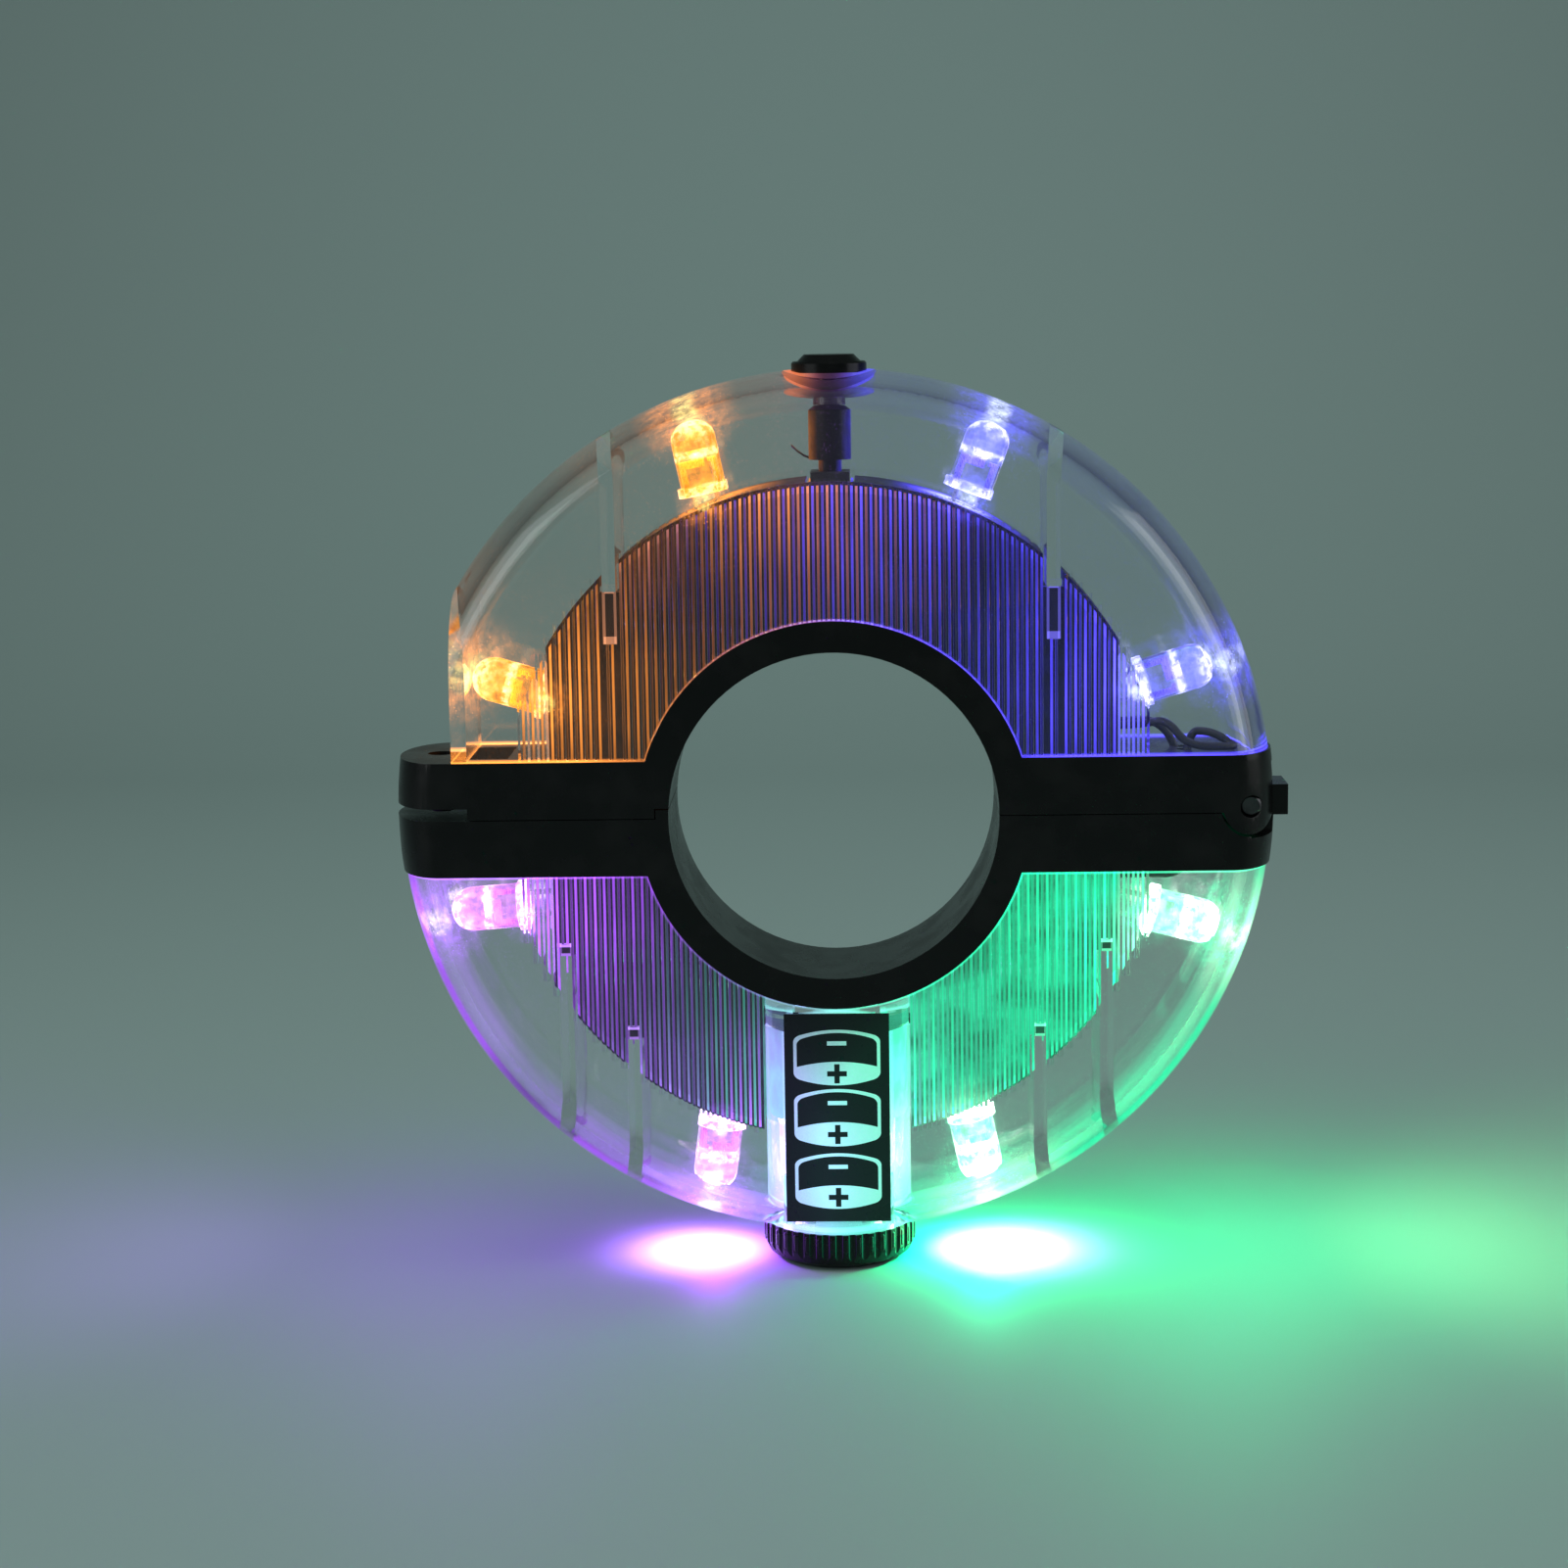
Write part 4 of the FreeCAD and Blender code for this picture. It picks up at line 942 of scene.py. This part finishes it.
def backdrop_paper():
    """Pale paper, with painted shade that darkens it towards the sides."""
    look = Finish("pale_paper")
    fibres = look.noise(1.2, 4.0)
    cloud = look.noise(400.0, 1.0)
    # Painted shade: the paper turns darker towards the sides
    aside = look.ramp(abs(look.x), 0.0, 520.0)
    pale = look.blend(cloud, (0.185, 0.272, 0.255), (0.198, 0.286, 0.268))
    colour = look.blend(aside, pale, (0.14, 0.195, 0.183))
    normal = look.bumped(fibres, 0.02, 0.3)
    return look.plain(Base_Color=colour, Roughness=0.6, Specular_IOR_Level=0.25, Normal=normal)


# Floor and backdrop: half of the width, the front, where and how the floor curves up, the top
FLOOR_HALF_WIDTH = 1500
FLOOR_FRONT = -900
CURVE_START = 350
CURVE_RADIUS = 300
CURVE_STEPS = 12
BACKDROP_TOP = 1200


def sweep():
    """Floor that curves up into a backdrop, as (y, z) in millimetres from front to top."""
    profile = [(FLOOR_FRONT, FLOOR_LEVEL), (CURVE_START, FLOOR_LEVEL)]
    for step in range(1, CURVE_STEPS + 1):
        turn = math.radians(90 * step / CURVE_STEPS)
        rise = CURVE_RADIUS * (1 - math.cos(turn))
        profile.append((CURVE_START + CURVE_RADIUS * math.sin(turn), FLOOR_LEVEL + rise))
    profile.append((CURVE_START + CURVE_RADIUS, BACKDROP_TOP))
    return profile


def stand_light(light, place, direction):
    """Puts a light at a place, in metres, and turns it to shine in a direction."""
    lamp = added(light.name, light)
    turn = direction.to_track_quat("-Z", "Y").to_matrix().to_4x4()
    lamp.matrix_world = Matrix.Translation(place) @ turn
    return lamp


def soft_light(name, place, size, power, colour):
    """Square studio lamp that points at the object, all in metres."""
    light = bpy.data.lights.new(name, "AREA")
    light.shape = "SQUARE"
    light.size = size
    light.energy = power
    light.color = colour
    return stand_light(light, place, -Vector(place))


# Middle of each lamp's beam over the floor: its colour and how much of it there is
CORE = {
    "amber": ((1, 0.7, 0.3), 1.2), "blue": ((0.5, 0.6, 1), 1.2),
    "magenta": ((0.9, 0.5, 1), 4.0), "green": ((1, 0.9, 0.34), 1.6),
}
# Light that the lower lamps throw wide over the floor, likewise
WASH = {"magenta": ((0.42, 0.05, 1.0), 0.38), "green": ((0.0, 1.0, 0.38), 0.6)}


def light_floor(lamp):
    """Pale core, coloured spill and, below, wide wash of a lamp."""
    core, core_share = CORE[lamp[0]]
    colour = lamp_colour(lamp[0])
    floor_glow(lamp, "_core", core, 60, core_share)
    if lamp[0] in WASH:
        colour, share = WASH[lamp[0]]
        floor_glow(lamp, "_wash", colour, 172, share, True)
    floor_glow(lamp, "_spill", Vector(colour).lerp(Vector(core), 0.35), 130, 0.8)


def floor_glow(lamp, name, colour, angle, share, straight_down=False):
    """Beam that a lamp throws out through the rim."""
    beam = bpy.data.lights.new(lamp[0] + name, "SPOT")
    beam.energy = settings().beam_power * lamp_power(lamp) * share
    beam.color = colour
    beam.spot_size = math.radians(angle)
    beam.spot_blend = 0.9
    beam.shadow_soft_size = 1.2 * MM
    direction = Vector((0, 0, -1)) if straight_down else lamp_point(lamp, 10) - lamp_point(lamp, 0)
    stand_light(beam, lamp_point(lamp, LAMP_LENGTH + 1.5) * MM, direction)


def light_world(tree):
    """Even light from all round, seen as grey paper, in which glossy pieces mirror a dim room."""
    nodes = Nodes(tree)
    path = nodes.node("ShaderNodeLightPath").outputs
    seen = nodes.node("ShaderNodeMath", {"operation": "MAXIMUM"}, {
        0: path["Is Camera Ray"], 1: path["Is Transmission Ray"]}).outputs[0]
    mirrored = nodes.blend(path["Is Glossy Ray"], (0.86, 0.90, 0.90), (0.14, 0.175, 0.168))
    background = tree.nodes["Background"]
    background.inputs["Strength"].default_value = settings().paper_light
    tree.links.new(nodes.blend(seen, mirrored, (0.26, 0.38, 0.355)), background.inputs["Color"])


def light_colour(name, colour):
    return FloatVectorProperty(
        name=name.capitalize() + " light", description=f"Colour of the {name} lamps", subtype="COLOR",
        size=3, min=0, max=1, default=colour)


def light_power(name, power):
    return FloatProperty(
        name=name.capitalize() + " power",
        description=f"Strength of the {name} lamps' light on the plastic", default=power)


def fine_size(name, description, millimetres):
    return FloatProperty(
        name=name, description=description, default=millimetres * MM, min=0, precision=5, unit="LENGTH")


class HubLightSettings(bpy.types.PropertyGroup):
    edge_rounding: fine_size("Edge rounding", "Radius of the frames' rounded edges", 0.25)
    wire_radius: fine_size("Wire radius", "Radius of the two wire loops", 0.45)
    ridge_radius: fine_size("Ridge radius", "Radius of the rounded ridges on the battery cap", 0.33)
    amber_light: light_colour("amber", (1.0, 0.30, 0.045))
    blue_light: light_colour("blue", (0.08, 0.06, 1.0))
    magenta_light: light_colour("magenta", (0.40, 0.09, 1.0))
    green_light: light_colour("green", (0.02, 1.0, 0.45))
    amber_power: light_power("amber", 180.0)
    blue_power: light_power("blue", 350.0)
    magenta_power: light_power("magenta", 260.0)
    green_power: light_power("green", 420.0)
    beam_power: FloatProperty(
        name="Beam power", description="Watts of a lamp's beam for each unit of its strength",
        default=6e-4)
    paper_light: FloatProperty(
        name="World light", description="Strength of the even light from all round", default=0.46)


class HUBLIGHT_OT_finishes(bpy.types.Operator):
    """Gives each CAD node its finish"""
    bl_idname = "hub_light.finishes"
    bl_label = "Finish the CAD pieces"

    def execute(self, context):
        clear = clear_plastic()
        black = black_plastic()
        blacks = (0.004, 0.004, 0.004), (0.008, 0.008, 0.008)
        carrier = lit_black("carrier_plastic", *blacks, 0.45, 0.9, 0.03)
        green_lit = lit_black("green_lit_plastic", *blacks, 0.45, 1.2, 0.42)
        board = board_lacquer()
        resistor = dull("resistor_black", (0.02, 0.02, 0.022), (0.035, 0.035, 0.036), 0.1, 0.5)
        wire = dull("wire_black", (0.012, 0.012, 0.013), (0.02, 0.02, 0.022), 0.15, 0.45)
        brass = metal("contact_brass", (0.75, 0.56, 0.26), (0.55, 0.38, 0.16), 0.15, 0.3)
        rubbers = (0.003, 0.003, 0.003), (0.006, 0.005, 0.005)
        sleeve = lit_black("sleeve_rubber", *rubbers, 0.35, 0.38, 0.0)
        nodes = {
            "upper_frame": black, "lower_frame": black, "button_cap": black,
            # The cap's black plastic has a much stronger painted glow of the lamps' light
            "battery_cap": black_plastic("cap_plastic", 1.05),
            "upper_cover": clear, "lower_cover": clear,
            "upper_carrier": carrier, "lower_left_carrier": carrier, "lower_right_carrier": green_lit,
            "upper_board": board, "lower_left_board": board, "lower_right_board": board,
            "controller_chip": dull("chip_black", (0.016, 0.016, 0.017), (0.03, 0.03, 0.03), 0.08, 0.5),
            "upper_resistors": resistor, "lower_resistors": resistor,
            "switch_body": dull("switch_black", (0.016, 0.016, 0.018), (0.03, 0.03, 0.03), 0.1, 0.42),
            "upper_wires": wire, "lower_wires": wire,
            "button_sleeve": sleeve, "switch_stem": sleeve,
            "hinge_pin": metal("pin_steel", (0.10, 0.10, 0.105), (0.05, 0.05, 0.055), 0.15, 0.4),
            "cell_cans": metal("cell_steel", (0.68, 0.67, 0.64), (0.52, 0.51, 0.48), 0.2, 0.25),
            "cell_lids": metal("cell_lid_steel", (0.70, 0.70, 0.68), (0.55, 0.54, 0.52), 0.2, 0.2),
            "cell_gaskets": dull("gasket_black", (0.02, 0.02, 0.022), (0.03, 0.03, 0.03), 0.1, 0.5),
            "battery_spring": metal("spring_steel", (0.60, 0.60, 0.58), (0.4, 0.4, 0.38), 0.1, 0.3),
            "spring_contact": brass, "contact_strip": brass, "cap_contact": brass,
        }
        for name in COLOURS:
            nodes[name + "_led_lenses"] = lens_epoxy(name)
            nodes[name + "_led_leads"] = lamp_lead(name)
        for node, material in nodes.items():
            dress(node, material)
        return {"FINISHED"}


class HUBLIGHT_OT_frames(bpy.types.Operator):
    """Makes the two black frames with rounded edges"""
    bl_idname = "hub_light.frames"
    bl_label = "Frames"

    def execute(self, context):
        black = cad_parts["upper_frame"].material_slots[0].material
        softened("upper_frame", "upper_half", black)
        softened("lower_frame", "lower_half", black)
        return {"FINISHED"}


class HUBLIGHT_OT_label(bpy.types.Operator):
    """Makes the battery label with its three cell marks"""
    bl_idname = "hub_light.label"
    bl_label = "Battery label"

    def execute(self, context):
        piece = hub_label(label_film(), label_ink())
        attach(piece, "lower_half")
        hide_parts("battery_label")
        return {"FINISHED"}


class HUBLIGHT_OT_wires(bpy.types.Operator):
    """Makes the wires that loop above the right bar"""
    bl_idname = "hub_light.wires"
    bl_label = "Wire loops"

    def execute(self, context):
        piece = wire_loops(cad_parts["upper_wires"].material_slots[0].material)
        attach(piece, "upper_half")
        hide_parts("upper_wires")
        return {"FINISHED"}


class HUBLIGHT_OT_cap_ridges(bpy.types.Operator):
    """Makes the rounded ridges of the battery cap's knurl"""
    bl_idname = "hub_light.cap_ridges"
    bl_label = "Cap ridges"

    def execute(self, context):
        piece = cap_ridges(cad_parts["battery_cap"].material_slots[0].material)
        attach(piece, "battery_cap")
        return {"FINISHED"}


class HUBLIGHT_OT_sleeve_flash(bpy.types.Operator):
    """Makes the tail of flash on the button's sleeve"""
    bl_idname = "hub_light.sleeve_flash"
    bl_label = "Sleeve flash"

    def execute(self, context):
        piece = sleeve_flash(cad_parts["button_sleeve"].material_slots[0].material)
        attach(piece, "button")
        return {"FINISHED"}


class HUBLIGHT_OT_lamp_dies(bpy.types.Operator):
    """Makes the lit chips in the lamps' cups"""
    bl_idname = "hub_light.lamp_dies"
    bl_label = "Lamp chips"

    def execute(self, context):
        for name in COLOURS:
            piece = lamp_dies(name, lamp_die(name))
            body = "upper_half" if name in ("amber", "blue") else "lower_half"
            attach(piece, body)
        return {"FINISHED"}


class HUBLIGHT_OT_stage(bpy.types.Operator):
    """Makes the floor, the lights, the world and the camera"""
    bl_idname = "hub_light.stage"
    bl_label = "Stage"

    def execute(self, context):
        profile = sweep()
        points = []
        for y, z in profile:
            points += [(-FLOOR_HALF_WIDTH, y, z), (FLOOR_HALF_WIDTH, y, z)]
        faces = [(2 * i, 2 * i + 1, 2 * i + 3, 2 * i + 2) for i in range(len(profile) - 1)]
        floor = mesh_piece("paper_sweep", points, faces, [backdrop_paper()], smooth_angle=60)
        top = soft_light("top_box", (0.0, -0.10, 0.62), 0.55, 2.3, (1.0, 0.99, 0.97))
        top.visible_glossy = False
        top.visible_transmission = False
        soft_light("left_box", (-0.60, -0.38, 0.26), 0.50, 1.3, (0.94, 0.98, 1.0))
        soft_light("right_box", (0.62, -0.10, 0.22), 0.50, 1.1, (0.97, 0.99, 1.0))
        world = bpy.data.worlds.new("studio")
        context.scene.world = world
        world.use_nodes = True
        light_world(world.node_tree)
        context.scene.view_settings.view_transform = "Standard"
        for lamp in LAMPS:
            light_floor(lamp)
        place_camera(context.scene)
        return {"FINISHED"}


# Camera: distance in metres, angles in degrees, and where the bore's centre falls in the picture
CAMERA_DISTANCE = 0.347
CAMERA_HEIGHT_ANGLE = 9.6
CAMERA_SIDE_ANGLE = 0.8
CAMERA_LENS = 70.8
SENSOR_WIDTH = 36
CAMERA_ROLL = -0.75
PICTURE_SIZE = 1601
BORE_IN_PICTURE = (851.8, 822.5)


def place_camera(scene):
    """Sets the camera so that the bore's centre falls where the picture has it."""
    data = bpy.data.cameras.new("camera")
    data.lens = CAMERA_LENS
    data.sensor_width = SENSOR_WIDTH
    data.clip_start = 0.01
    camera = added("camera", data)
    scene.camera = camera
    up = math.radians(CAMERA_HEIGHT_ANGLE)
    side = math.radians(CAMERA_SIDE_ANGLE)
    eye = CAMERA_DISTANCE * Vector((
        math.cos(up) * math.sin(side), -math.cos(up) * math.cos(side), math.sin(up)))
    straight = (-eye).to_track_quat("-Z", "Y").to_matrix().to_4x4()
    pixels = CAMERA_LENS / SENSOR_WIDTH * PICTURE_SIZE
    across = math.atan((BORE_IN_PICTURE[0] - PICTURE_SIZE / 2) / pixels)
    down = math.atan((BORE_IN_PICTURE[1] - PICTURE_SIZE / 2) / pixels)
    roll = Matrix.Rotation(math.radians(CAMERA_ROLL), 4, "Z")
    aim = Matrix.Rotation(across, 4, "Y") @ Matrix.Rotation(down, 4, "X")
    camera.matrix_world = Matrix.Translation(eye) @ straight @ aim @ roll


class HUBLIGHT_PT_panel(bpy.types.Panel):
    """Lists the steps that build the light's looks"""
    bl_idname = "HUBLIGHT_PT_panel"
    bl_label = "Hub Light"
    bl_space_type = "VIEW_3D"
    bl_region_type = "UI"
    bl_category = "Hub Light"

    def draw(self, context):
        layout = self.layout
        for name in HubLightSettings.__annotations__:
            layout.prop(context.scene.hub_light, name)
        for operator in OPERATORS:
            layout.operator(operator.bl_idname)


OPERATORS = (
    HUBLIGHT_OT_finishes,
    HUBLIGHT_OT_frames,
    HUBLIGHT_OT_label,
    HUBLIGHT_OT_lamp_dies,
    HUBLIGHT_OT_wires,
    HUBLIGHT_OT_cap_ridges,
    HUBLIGHT_OT_sleeve_flash,
    HUBLIGHT_OT_stage,
)
CLASSES = (HubLightSettings, *OPERATORS, HUBLIGHT_PT_panel)


def register():
    for item in CLASSES:
        bpy.utils.register_class(item)
    bpy.types.Scene.hub_light = PointerProperty(type=HubLightSettings)


def unregister():
    del bpy.types.Scene.hub_light
    for item in reversed(CLASSES):
        bpy.utils.unregister_class(item)


def main():
    register()
    bpy.ops.hub_light.finishes()
    bpy.ops.hub_light.frames()
    bpy.ops.hub_light.label()
    bpy.ops.hub_light.lamp_dies()
    bpy.ops.hub_light.wires()
    bpy.ops.hub_light.cap_ridges()
    bpy.ops.hub_light.sleeve_flash()
    bpy.ops.hub_light.stage()


if __name__ == "__main__":
    main()
